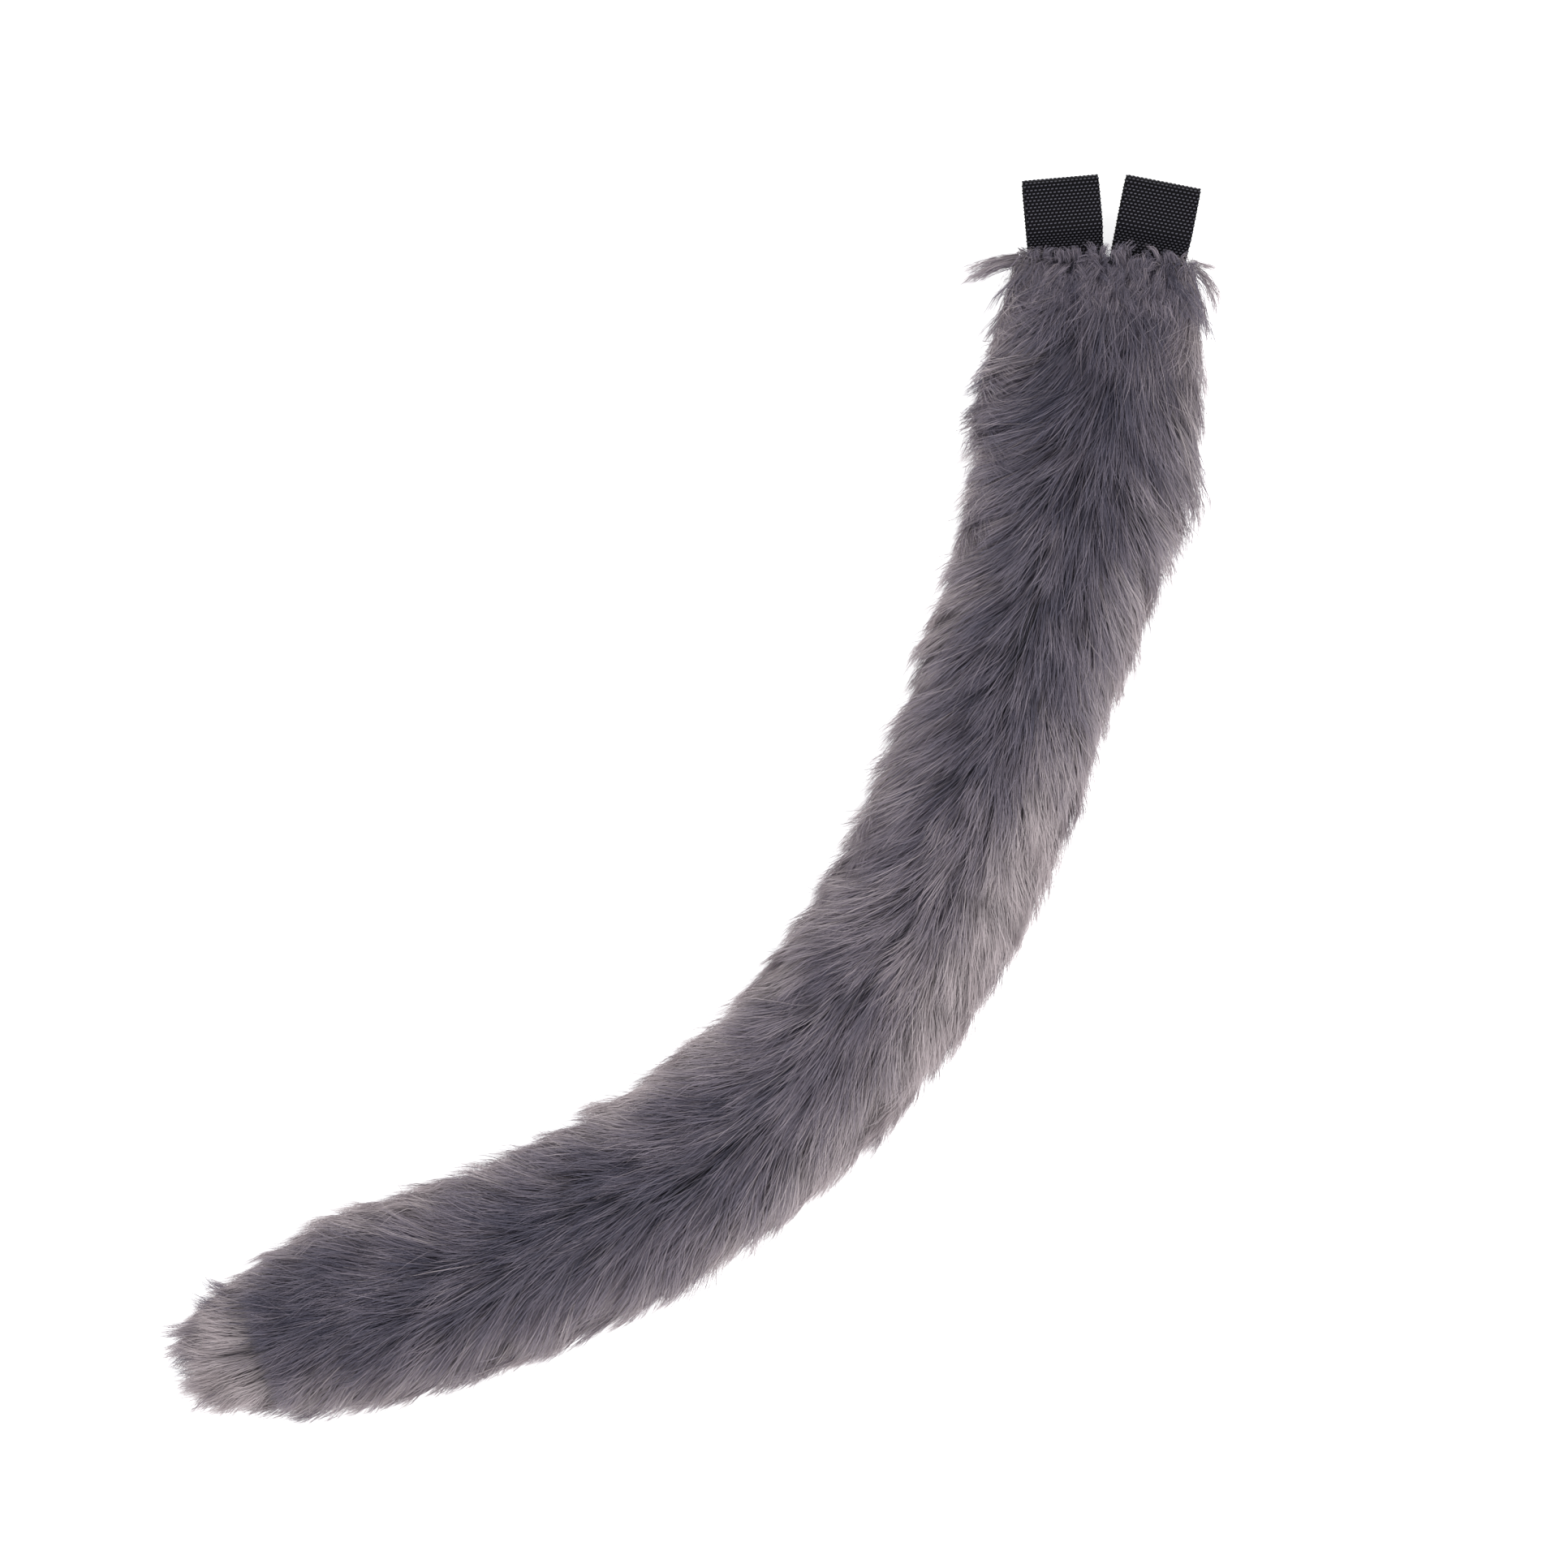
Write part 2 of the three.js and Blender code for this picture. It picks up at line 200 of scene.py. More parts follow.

# Where the dark pile ends in a step near the tip, over pile beneath it that is painted lighter, as painted
# light where the round end catches the light. Hairs rooted within reach before the step stop at it, a
# little raggedly, and none gets shorter than the shortest. A leaning hair gets along by a share of its
# length
TIP_STEP = {
    "along": 496,
    "hides": 8,
    "reach": 26,
    "round": 68,
    "spread": 72,
    "light": 0.6,
    "ragged": 1.2,
    "shortest": 5,
    "along_share": 0.92,
}

# The parting along the top: the power that sharpens the turn of the lean over it, how far it wanders in
# radians, and the cosine within which the combing of the two sides is mixed
PARTING = {"power": 0.7, "wander": 0.14, "mixed": 0.15}

# How far hairs wander from the combing, in degrees: slowly over the whole sleeve, by tuft from large to
# small, and hair by hair
WANDER = {"slow": 4.0, "coarse": 3.0, "middling": 3.5, "fine": 2.5, "hair": 4.5}

# Pace and place at which the slow waves are read for the wander, apart from the parting's
SLOW_PACE = 1.7
SLOW_SHIFT = 40.0

# How far a hair bends over its length, in degrees, and the share of it where it keeps its lean
BEND = {"hair": 7.0, "tuft": 4.0, "about": 0.4}

# Ruffled pile at the seam: the stretch in mm over which it fades out, how much more it wanders and
# bends there, how far in mm hairs fall back over the seam, and the sine of the angle from which they do
RUFFLE = {
    "fades": (8, 32),
    "wander": 1.5,
    "bend": 1.0,
    "tuft_bend": 3.0,
    "falls_back": (2, 13),
    "upward": (-0.3, 0.4),
}

# Turn of the lean on top of the round end, in degrees, and the stretch where it sets in
END_TURN = {"turn": 11.0, "sets_in": (465, 505)}

# A power under 1 puts more hairs near the top of the pile than deep in it
DEPTH_POWER = 0.75

# Lengths as shares of the usual one: how much they differ by tuft, the deepest hair's and how much the
# topmost adds, and how much is lost over the round end
HAIR_LENGTHS = {
    "coarse": 0.06,
    "middling": 0.12,
    "deepest": 0.74,
    "topmost": 0.3,
    "lost": 0.12,
    "lost_over": (485, 508),
}

# How far hairs stand off, as shares of the usual reach: on average, how much it differs by tuft, its
# limits, and the deepest hair's share and how much the topmost adds
STANDS_OFF = {
    "mean": 0.75,
    "coarse": 0.1,
    "middling": 0.25,
    "limits": (0.25, 1.35),
    "deepest": 0.4,
    "topmost": 0.7,
}

# Stray hairs: how many times more there are at the seam and the stretch over which that fades out,
# their lean in degrees, and their reach and width as shares of the usual
STRAYS = {"more": 3.0, "fades": (20, 90), "lean": 24.0, "reach": (1.0, 1.3), "width": 0.55}

# How hairs of a tuft draw together, as shares of the setting on top of the tail and added at its sides,
# how large tufts do, and the powers of the share of the length with which small, middling and large
# tufts close
GATHER = {"top": 0.7, "side": 0.75, "side_power": 3, "coarse": 0.08, "powers": (1.3, 1.5, 1.6)}

# Share of its straight path that a hair keeps over the sleeve's curve, and where that sets in
STRAIGHT = {"share": 0.6, "sets_in": (20, 60)}

# A spine's stations as shares of its length, its width at each, and the one where most of it shows
STATIONS = np.array([0.1, 0.42, 0.74, 1.0])
STATION_WIDTHS = np.array([0.8, 1.0, 0.72, 0.0])
SEEN_STATION = 2

# Power with which a hair rises out of the skin, and the least that the round end narrows pile to
RISE_POWER = 1.5
LEAST_TAPER = 0.2

# Heights over the table in mm below which no spine and no hair's edge goes
LOWEST_SPINE = 0.35
LOWEST_EDGE = 0.25

# How far hairs are rolled about their own length, in radians
ROLL = {"spread": 0.75, "most": 1.35}

# How much the tone differs: by tuft from large to small, hair by hair, from the deepest hairs to the
# topmost, and how much lighter guard hairs and stray hairs are. The guard hairs' lightening is partly
# painted sheen on single strands
TONE_SHARES = {
    "coarse": 0.04,
    "middling": 0.06,
    "fine": 0.06,
    "hair": 0.06,
    "depth": 0.2,
    "guard_and_sheen": 0.13,
    "stray": 0.14,
}
TONE_LIMITS = (0.01, 0.99)

# Widths as shares of the usual, and how far the roots are buried in the pile and its shade
PILE_WIDTHS, PILE_BURIED = (0.7, 1.25), 1.0
FRINGE_WIDTHS, FRINGE_BURIED = (0.45, 0.9), 0.5
WISP_WIDTHS, WISP_BURIED = (0.6, 1.0), 0.8

# Tufts from large to small: length in mm and number round the sleeve
TUFTS = [(13.0, 11), (5.6, 26), (2.3, 64)]

# Slow waves over the sleeve: their number, the longest in mm and the most that one turns round
WAVES = {"count": 7, "longest": 90.0, "most_round": 2}

# Loose hairs over the seam, in mm and degrees where no other unit is named
FRINGE = {
    "from": 1.0,  # where the nearest hair is rooted
    "down": 17.0,  # how much further the furthest is
    "crowding": 1.3,  # power that crowds the roots towards the seam
    "middle": 0.25,  # share of the girth where the top is
    "spread": 0.12,  # spread of the roots about it, as a share of the girth
    "tuft": 3.6,  # length of a tuft
    "tufts_round": 40,  # number of tufts round the sleeve
    "turn_by_tuft": 34.0,  # spread of the turn to the side
    "turn_by_hair": 16.0,
    "fan": 0.25,  # turn outwards at the sides, in radians
    "arched": (9.0, 21.0),  # lengths of hairs that arch forward
    "arch_from": (0, 12),  # the stretch over which they take over
    "arch_limit": (-0.8, 3.2),  # what a normal draw stays under to arch: at the seam, and added below
    "arch_mixing": 0.4,  # how much hairs of a tuft differ in it
    "arch_back": (0.3, 2.6),  # how far back an arch swings first
    "arch_forward": 0.75,  # share of its length that it ends forward by
    "arch_drift": 0.6,  # share of its length that it may end aside by
    "laid": (3.5, 7.5),  # lengths of hairs laid back over the feet of the loops
    "laid_by_tuft": 0.8,  # how much tufts differ in it
    "laid_back": 0.5,  # share of its length that a laid hair reaches back
    "laid_middle": 0.2,  # what is added to it between the loops
    "laid_middle_width": 0.12,  # half the width of that, in radians
    "laid_upward": (0.1, 0.9),  # sines of the angle over which laid hairs set in
    "laid_drift": 0.55,  # share of its length that it may end aside by
    "laid_turn": 1.7,  # how far round its curve it goes, in radians
    "curl": 1.2,  # spread of the curl to the side
    "curl_turns": 1.8,  # half turns of the curl
    "drift_power": 1.5,  # power with which a hair drifts aside
    "gather": 0.45,  # how far hairs of a tuft draw together
    "rise": (1.0, 4.5),  # how high hairs rise
    "side_drop": -0.4,  # share of the rise that hairs at the very side sink by
    "rise_power": 0.7,  # power that brings the rise forward
    "rise_turn": 0.85,  # half turns that the rise goes through
    "lift": 0.4,  # how far the roots are lifted
    "tone": 0.5,
    "tone_by_tuft": 0.06,
    "tone_by_hair": 0.1,
}

# How every wisp is made: its roots' spread round the sleeve in radians, lengths as shares of its own,
# waver in degrees, rise and fall of its path, how far it draws together and how much its tone differs
WISP_SHAPE = {
    "round": 0.3,
    "lengths": (0.6, 1.0),
    "waver": 3.5,
    "rise": 0.45,
    "fall": 0.6,
    "gather": 0.85,
    "tone": 0.1,
}

# Wisps that stand out of the outline: along in mm, side 1 outer and -1 inner, start and end of their
# lean from the tail's direction in degrees, length and root spread in mm, number of hairs and tone. Most
# tones are set light as painted light, where the thin wisps are lit through from behind
WISP_COLUMNS = ("along", "side", "start", "end", "length", "spread", "hairs", "tone")
WISPS = [
    (1, -1, 92, 60, 25, 1.0, 60, 0.82),
    (2, -1, 88, 48, 26, 1.2, 70, 0.8),
    (3, -1, 84, 54, 21, 1.2, 60, 0.75),
    (18, -1, 48, 26, 20, 2.0, 70, 0.7),
    (1, 1, 96, 66, 10, 1.0, 30, 0.9),
    (2, 1, 78, 10, 19, 1.0, 40, 0.9),
    (3, 1, 66, 0, 21, 1.0, 40, 0.85),
    (8, 1, 46, -8, 22, 1.2, 40, 0.8),
    (42, -1, 58, 46, 21, 2.4, 90, 0.5),
    (49, -1, 54, 40, 22, 2.4, 90, 0.55),
    (495, -1, -6, 50, 19, 2.0, 90, 0.66),
    (501, -1, -6, 44, 18, 2.0, 90, 0.62),
    (505, -1, 8, 14, 28, 1.6, 110, 0.78),
    (506, -1, -14, 2, 26, 1.6, 100, 0.82),
    (506, 1, -6, 4, 26, 1.6, 100, 0.85),
    (505, 1, 10, 20, 26, 1.6, 100, 0.85),
    (502, 1, 14, 26, 22, 2.2, 90, 1.0),
]


# Colours, materials and meshes


def linear(hex_colour):
    """An sRGB hex colour such as 4c4b56 as linear red, green, blue and alpha."""
    channels = [int(hex_colour[i : i + 2], 16) / 255 for i in (0, 2, 4)]
    turned = [c / 12.92 if c <= 0.04045 else ((c + 0.055) / 1.055) ** 2.4 for c in channels]
    return (*turned, 1.0)


def add_node(tree, kind, settings=None, links=None, stops=()):
    """Adds a node with its settings, and with its inputs set or linked by name or number.

    A node given for an input stands for its first output, and a list is linked one by one. Stops are
    a colour ramp's, as pairs of a place and a linear colour.
    """
    node = tree.nodes.new(kind)
    for name, value in (settings or {}).items():
        setattr(node, name, value)
    for socket, value in (links or {}).items():
        for given in value if isinstance(value, list) else [value]:
            source = given.outputs[0] if isinstance(given, bpy.types.Node) else given
            if isinstance(source, bpy.types.NodeSocket):
                tree.links.new(source, node.inputs[socket])
            else:
                node.inputs[socket].default_value = source
    for number, (place, colour) in enumerate(stops):
        elements = node.color_ramp.elements
        element = elements[number] if number < len(elements) else elements.new(place)
        element.position, element.color = place, colour
    return node


def new_material(name):
    """An empty material with its tree, its shader and its output."""
    material = bpy.data.materials.new(name)
    material.use_nodes = True
    tree = material.node_tree
    tree.nodes.clear()
    shader = add_node(tree, "ShaderNodeBsdfPrincipled")
    add_node(tree, "ShaderNodeOutputMaterial", links={"Surface": shader})
    return material, tree, shader


def place_mesh(name, points, corners, counts, material=None):
    """A mesh object from points in millimetres about the seam's middle, put where the frame has it."""
    mesh = bpy.data.meshes.new(name)
    fill_mesh(mesh, (np.reshape(points, (-1, 3)) + SEAM_PLACE) * MM, corners, counts)
    return add_object(name, mesh, material)


def fill_mesh(mesh, points, corners, counts):
    """Fills a mesh from points in metres and its faces' corners in one run, with the count of each."""
    mesh.vertices.add(len(points))
    mesh.vertices.foreach_set("co", np.asarray(points, dtype=np.float32).ravel())
    mesh.loops.add(len(corners))
    mesh.loops.foreach_set("vertex_index", np.asarray(corners, dtype=np.int32))
    mesh.polygons.add(len(counts))
    starts = np.concatenate([[0], np.cumsum(counts)[:-1]]).astype(np.int32)
    mesh.polygons.foreach_set("loop_start", starts)
    mesh.polygons.foreach_set("loop_total", np.asarray(counts, dtype=np.int32))
    mesh.polygons.foreach_set("use_smooth", np.ones(len(counts), dtype=bool))
    mesh.update(calc_edges=True)
    mesh.validate()


def add_object(name, mesh, material):
    """Links a mesh into the scene as an object at the origin."""
    piece = bpy.data.objects.new(name, mesh)
    bpy.context.scene.collection.objects.link(piece)
    if material:
        mesh.materials.append(material)
    return piece


def set_inputs(modifier, values):
    """Sets a Geometry Nodes modifier's inputs, given by name, through the identifiers of their sockets."""
    sockets = [item for item in modifier.node_group.interface.items_tree if item.item_type == "SOCKET"]
    identifiers = {socket.name: socket.identifier for socket in sockets if socket.in_out == "INPUT"}
    for name, value in values.items():
        modifier[identifiers[name]] = value


def plain_mesh(piece):
    """Turns a piece with live modifiers into the mesh they make, and takes them off."""
    evaluated = piece.evaluated_get(bpy.context.evaluated_depsgraph_get())
    made = bpy.data.meshes.new_from_object(evaluated)
    piece.modifiers.clear()
    old, piece.data = piece.data, made
    bpy.data.meshes.remove(old)
    made.name = piece.name


# The tail's curve and sections


def seam_place():
    """The seam's middle in the frame, in mm: a loop's mount lies half way along its level stretch."""
    mounts = {mount["name"]: mount["pos_m"] for mount in frame["record"]["mounts"]}
    level_from = LOOP_STEM + LOOP_RAMP
    level_to = LOOP_LENGTH - LOOP_OPENING / 2 - WEBBING_THICKNESS
    along = (level_from + level_to) / 2
    feet = []
    for node, lean in LOOP_LEANS.items():
        x, y, _ = mounts[node.replace("belt_loop_", "") + "_loop_belt_face"]
        turn = math.radians(lean)
        feet.append((x / MM + along * math.sin(turn), y / MM - along * math.cos(turn)))
    return np.array([*np.mean(feet, axis=0), 0.0])


SEAM_PLACE = seam_place()


def section_value(column, at):
    """One column of the table of sections at shares of the sleeve's length."""
    return np.interp(at, SECTIONS[:, 0], SECTIONS[:, SECTION_COLUMNS.index(column)])


def curve_at(length):
    """Place, direction and outer side of the curve at lengths from the seam, also past its ends."""
    x, y = np.zeros_like(length), np.zeros_like(length)
    heading = np.full_like(length, math.radians(START_HEADING))
    start = 0.0
    for number, arc in enumerate(CURVE_ARCS):
        whole = arc["share"] * SLEEVE_LENGTH
        lowest = -np.inf if number == 0 else 0.0
        highest = np.inf if number == len(CURVE_ARCS) - 1 else whole
        part = np.clip(length - start, lowest, highest)
        turned = math.radians(arc["turn"]) * np.clip(part, 0, whole) / whole
        chord = part * np.sinc(turned / 2 / np.pi)
        x -= chord * np.sin(heading + turned / 2)
        y -= chord * np.cos(heading + turned / 2)
        heading = heading + turned
        start += whole
    zero = np.zeros_like(x)
    place = np.stack([x, y, zero], axis=-1)
    along = np.stack([-np.sin(heading), -np.cos(heading), zero], axis=-1)
    outer = np.stack([np.cos(heading), -np.sin(heading), zero], axis=-1)
    return place, along, outer


def section_at(length, taper_column="taper"):
    """Half width, half height, power and height of the middle of the sleeve's section."""
    at = length / SLEEVE_LENGTH
    flare, flat = section_value("flare", at), section_value("flat", at)
    taper = section_value(taper_column, at)
    width = SLEEVE_WIDTH + (SEAM_WIDTH - SLEEVE_WIDTH) * flare
    height = SLEEVE_HEIGHT + (SEAM_HEIGHT - SLEEVE_HEIGHT) * flat
    squareness = BODY_SQUARENESS + (SEAM_SQUARENESS - BODY_SQUARENESS) * flat
    middle = PILE_PRESSED + height * section_value("fan", at) / 2 + SEAM_LIFT * flat
    return width * taper / 2, height * taper / 2, 2 / squareness, middle


def point_on(length, angle, rise, taper_column="taper"):
    """Points on the sleeve, raised off it, at angles about its axis from the outer side over the top."""
    place, _, outer = curve_at(length)
    half_width, half_height, power, middle = section_at(length, taper_column)
    cosine, sine = np.cos(angle), np.sin(angle)
    across = half_width * np.sign(cosine) * np.abs(cosine) ** power + rise * cosine
    up = half_height * np.sign(sine) * np.abs(sine) ** power + rise * sine
    point = place + outer * across[..., None]
    point[..., 2] = middle + up
    return point


class Girth:
    """Turns a distance round the sleeve into the angle about its axis, from a table measured once."""

    LENGTHS = 200
    SHARES = 256
    FINE = 1440

    def __init__(self):
        self.lengths = np.linspace(0, SLEEVE_LENGTH, self.LENGTHS)
        fine = np.linspace(0, 2 * np.pi, self.FINE + 1)
        shares = np.linspace(0, 1, self.SHARES + 1)
        grid_length, grid_angle = np.meshgrid(self.lengths, fine, indexing="ij")
        edge = point_on(grid_length, grid_angle, np.zeros_like(grid_angle))
        steps = np.linalg.norm(np.diff(edge, axis=1), axis=2)
        walked = np.concatenate([np.zeros((self.LENGTHS, 1)), np.cumsum(steps, axis=1)], axis=1)
        self.girths = walked[:, -1]
        self.angles = np.array([np.interp(shares * w[-1], w, fine) for w in walked])

    def girth(self, length):
        return np.interp(length, self.lengths, self.girths)

    def angle(self, length, share):
        turns = np.floor(share)
        row = np.clip(length / SLEEVE_LENGTH, 0, 1) * (self.LENGTHS - 1)
        column = (share - turns) * self.SHARES
        row_low = np.minimum(row.astype(int), self.LENGTHS - 2)
        column_low = np.minimum(column.astype(int), self.SHARES - 1)
        u, v = row - row_low, column - column_low
        table = self.angles
        near = table[row_low, column_low] * (1 - v) + table[row_low, column_low + 1] * v
        far = table[row_low + 1, column_low] * (1 - v) + table[row_low + 1, column_low + 1] * v
        return near * (1 - u) + far * u + 2 * np.pi * turns


# Pile


class Clumps:
    """Patches of pile of about one size, whose hairs lean and gather together."""

    SPARE_ROWS = 4
    JITTER = (0.1, 0.9)
    VALUES = 5

    def __init__(self, rng, size, columns):
        self.size = size
        self.rows = int(math.ceil(SLEEVE_LENGTH / size)) + self.SPARE_ROWS
        self.columns = columns
        self.jitter = rng.uniform(*self.JITTER, (self.rows, columns, 2))
        self.values = rng.normal(0, 1, (self.rows, columns, self.VALUES))

    def of(self, length, share):
        """Nearest clump's middle, as a length and a share of the girth, and its own random values."""
        row = length / self.size + 1
        column = share * self.columns
        best = np.full(length.shape, np.inf)
        middle_length, middle_share = np.zeros_like(length), np.zeros_like(share)
        values = np.zeros((*length.shape, self.VALUES))
        for down in (-1, 0, 1):
            for across in (-1, 0, 1):
                i = np.floor(row).astype(int) + down
                j = np.floor(column).astype(int) + across
                held = np.clip(i, 0, self.rows - 1)
                wrapped = j % self.columns
                place_row = i + self.jitter[held, wrapped, 0]
                place_column = j + self.jitter[held, wrapped, 1]
                distance = (row - place_row) ** 2 + (column - place_column) ** 2
                nearer = distance < best
                best = np.where(nearer, distance, best)
                middle_length = np.where(nearer, (place_row - 1) * self.size, middle_length)
                middle_share = np.where(nearer, place_column / self.columns, middle_share)
                values = np.where(nearer[..., None], self.values[held, wrapped], values)
        return middle_length, middle_share, values


class Waves:
    """A slow random wander over the sleeve, between about -1 and 1."""

    PACES = (0.4, 1.0)

    def __init__(self, rng, count, longest, most_round):
        self.along = rng.uniform(*self.PACES, count) * 2 * np.pi / longest
        self.round = rng.integers(0, most_round + 1, count)
        self.phase = rng.uniform(0, 2 * np.pi, count)
        self.sign = rng.choice([-1, 1], count)

    def at(self, length, angle):
        total = np.zeros_like(length)
        for along, turns, phase, sign in zip(self.along, self.round, self.phase, self.sign):
            total += np.sin(along * length + sign * turns * angle + phase)
        return total / math.sqrt(len(self.along))


def reach_at(angle):
    """How far tips stand off the sleeve: furthest at its sides, and least where it lies on the table."""
    side = np.cos(angle) ** 2
    upright = np.where(np.sin(angle) > 0, PILE_LOFT, PILE_PRESSED)
    return PILE_REACH * side + upright * (1 - side)


def unit(vectors):
    """Vectors made one long, with those of no length left as they are."""
    return vectors / (np.linalg.norm(vectors, axis=-1)[..., None] + TINY)


def fade(value, low, high):
    """0 below low, 1 above high and smooth between them."""
    share = np.clip((value - low) / (high - low), 0, 1)
    return share * share * (3 - 2 * share)


def away_from(angle, degrees):
    """Angles about the axis measured from a place given in degrees, up to half a turn either way."""
    return np.angle(np.exp(1j * (angle - math.radians(degrees))))


def painted_light_and_shade(length, angle):
    """Sum of the patches of painted light and shade at each root."""
    total = np.zeros_like(length)
    for along, degrees, patch_length, spread, light in PAINTED_LIGHT_PATCHES:
        off_length = (length - along) / patch_length
        off_round = away_from(angle, degrees) / math.radians(spread)
        total += light * np.exp(-(off_length**2 + off_round**2))
    return total


def tip_step(length, angle):
    """The step's strength at each root's angle, from 0 to 1, and how far the root lies before it."""
    off_round = away_from(angle, TIP_STEP["round"]) / math.radians(TIP_STEP["spread"])
    return np.exp(-(off_round**4)), TIP_STEP["along"] - TIP_STEP["hides"] - length


def combed(measure, length, outer):
    """The combing's lean or loft at lengths from the seam, mixed from the inner to the outer side."""
    sides = [COMBING[:, COMBING_COLUMNS.index(f"{side}_{measure}")] for side in ("inner", "outer")]
    inner_side, outer_side = (np.interp(length, COMBING[:, 0], side) for side in sides)
    return inner_side * (1 - outer) + outer_side * outer


class Roots:
    """Where the hairs of one stretch of pile are rooted, and their tufts from large to small."""

    def __init__(self, rng, count, low, high, patches):
        self.girth, *clumps, self.slow = patches
        self.length = rng.uniform(low, high, count)
        self.share = rng.uniform(0, 1, count)
        self.angle = self.girth.angle(self.length, self.share)
        self.tufts = [size.of(self.length, self.share) for size in clumps]
        self.coarse, self.middling, self.fine = (values for _, _, values in self.tufts)
        self.guide_length, guide_share, _ = self.tufts[1]
        self.guide_angle = self.girth.angle(self.guide_length, guide_share)
        self.outer = fade(np.cos(self.guide_angle), -PARTING["mixed"], PARTING["mixed"])
        self.near_seam = 1 - fade(self.length, *RUFFLE["fades"])


def lean_and_bend(rng, roots):
    """Each hair's lean from the tail's direction and its bend over its length, in radians."""
    count = len(roots.length)

    # Lean away from the parting along the top, with each tuft's own turn
    parting = PARTING["wander"] * roots.slow.at(roots.guide_length, roots.guide_angle)
    swing = np.sin(2 * (roots.guide_angle + parting))
    sweep = combed("lean", roots.length, roots.outer)
    lean = -np.radians(sweep) * np.sign(swing) * np.abs(swing) ** PARTING["power"]
    ruffled = 1 + RUFFLE["wander"] * roots.near_seam
    slow = roots.slow.at(roots.guide_length * SLOW_PACE + SLOW_SHIFT, roots.guide_angle)
    wander = WANDER["slow"] * slow + WANDER["coarse"] * roots.coarse[:, 0]
    wander += (WANDER["middling"] * roots.middling[:, 0] + WANDER["fine"] * roots.fine[:, 0]) * ruffled
    wander += WANDER["hair"] * rng.normal(0, 1, count) * ruffled
    lean += np.radians(wander)
    end_turn = math.radians(END_TURN["turn"]) * fade(roots.length, *END_TURN["sets_in"])
    lean += end_turn * np.sin(roots.guide_angle)
    by_hair = BEND["hair"] * rng.normal(0, 1, count) * (1 + RUFFLE["bend"] * roots.near_seam)
    by_tuft = BEND["tuft"] * roots.middling[:, 1] * (1 + RUFFLE["tuft_bend"] * roots.near_seam)
    return lean, np.radians(by_hair + by_tuft)


def size_hairs(rng, roots, settings):
    """Which hairs are stray, how near the top each is, its length, its reach and a stray hair's turn."""
    length, count = roots.length, len(roots.length)
    more = 1 + STRAYS["more"] * (1 - fade(length, *STRAYS["fades"]))
    stray = rng.random(count) < settings.stray_share * more
    depth = rng.uniform(0, 1, count) ** DEPTH_POWER
    shares = HAIR_LENGTHS
    by_tuft = 1 + shares["coarse"] * roots.coarse[:, 2] + shares["middling"] * roots.middling[:, 2]
    hair = settings.hair_length / MM * by_tuft * (shares["deepest"] + shares["topmost"] * depth)
    hair = hair * (1 - shares["lost"] * fade(length, *shares["lost_over"]))

    # Hairs that stop at the step near the tip
    stepped, before_step = tip_step(length, roots.angle)
    stops = (before_step > 0) & (before_step < TIP_STEP["reach"]) & (rng.random(count) < stepped)
    to_step = TIP_STEP["along"] + TIP_STEP["ragged"] * rng.normal(0, 1, count) - length
    stopped = np.maximum(to_step, TIP_STEP["shortest"]) / TIP_STEP["along_share"]
    hair = np.where(stops, np.minimum(hair, stopped), hair)

    reach = STANDS_OFF["mean"] + STANDS_OFF["coarse"] * roots.coarse[:, 3]
    reach += STANDS_OFF["middling"] * roots.middling[:, 3]
    reach = np.clip(reach, *STANDS_OFF["limits"]) * combed("loft", length, roots.outer)
    reach = reach * (STANDS_OFF["deepest"] + STANDS_OFF["topmost"] * depth)
    turn = np.where(stray, math.radians(STRAYS["lean"]) * rng.normal(0, 1, count), 0.0)
    reach = np.where(stray, rng.uniform(*STRAYS["reach"], count), reach)
    return stray, depth, hair, reach, turn


def lay_spines(roots, lean, bend, hair, reach, stray, falls_back, settings):
    """Spines laid over the sleeve from under its skin to their tips, and the angle where each shows."""
    girth, length = roots.girth, roots.length
    spine = np.zeros((len(length), len(STATIONS), 3))
    girth_here = girth.girth(length)
    at = length / SLEEVE_LENGTH
    taper = section_value("taper", at) / section_value("fan", at)
    narrowed = np.minimum(1, np.sqrt(np.maximum(taper, LEAST_TAPER)))
    straightness = STRAIGHT["share"] * fade(length, *STRAIGHT["sets_in"])
    sideways = np.abs(np.cos(roots.guide_angle)) ** GATHER["side_power"]
    middling_gather = settings.gather * (GATHER["top"] + GATHER["side"] * sideways)
    gathers = (settings.gather, middling_gather, GATHER["coarse"])
    seen_angle = roots.angle
    for number, station in enumerate(STATIONS):
        # Hairs of a tuft draw together towards its tip, from the small tufts to the large
        root_length, root_share = length, roots.share
        tufts = zip(reversed(roots.tufts), gathers, GATHER["powers"])
        for (to_length, to_share, _), gather, power in tufts:
            draw = np.where(stray, 0.0, gather * station**power)
            root_length = root_length + (to_length - root_length) * draw
            root_share = root_share + (to_share - root_share) * draw
        heading = lean + bend * (station - BEND["about"])
        further = root_length + hair * station * np.cos(heading) - falls_back * np.sin(np.pi * station)
        round_by = hair * station * np.sin(heading)
        surface = girth.angle(further, root_share + round_by / girth_here)
        risen = 1 - (1 - station) ** RISE_POWER
        sunk = np.full(len(length), -SKIN_DEPTH * (1 - risen))
        on_sleeve = point_on(np.clip(further, 0, SLEEVE_LENGTH), surface, sunk)
        axis, _, _ = curve_at(further)
        axis[..., 2] = section_at(further)[3]
        lifted = reach_at(surface) * reach + straightness * round_by**2 / SLEEVE_WIDTH
        tip = point_on(further, surface, lifted, "fan")
        tip = axis + (tip - axis) * narrowed[:, None]
        spine[:, number] = on_sleeve + (tip - on_sleeve) * risen
        if number == SEEN_STATION:
            seen_angle = surface
    return spine, seen_angle


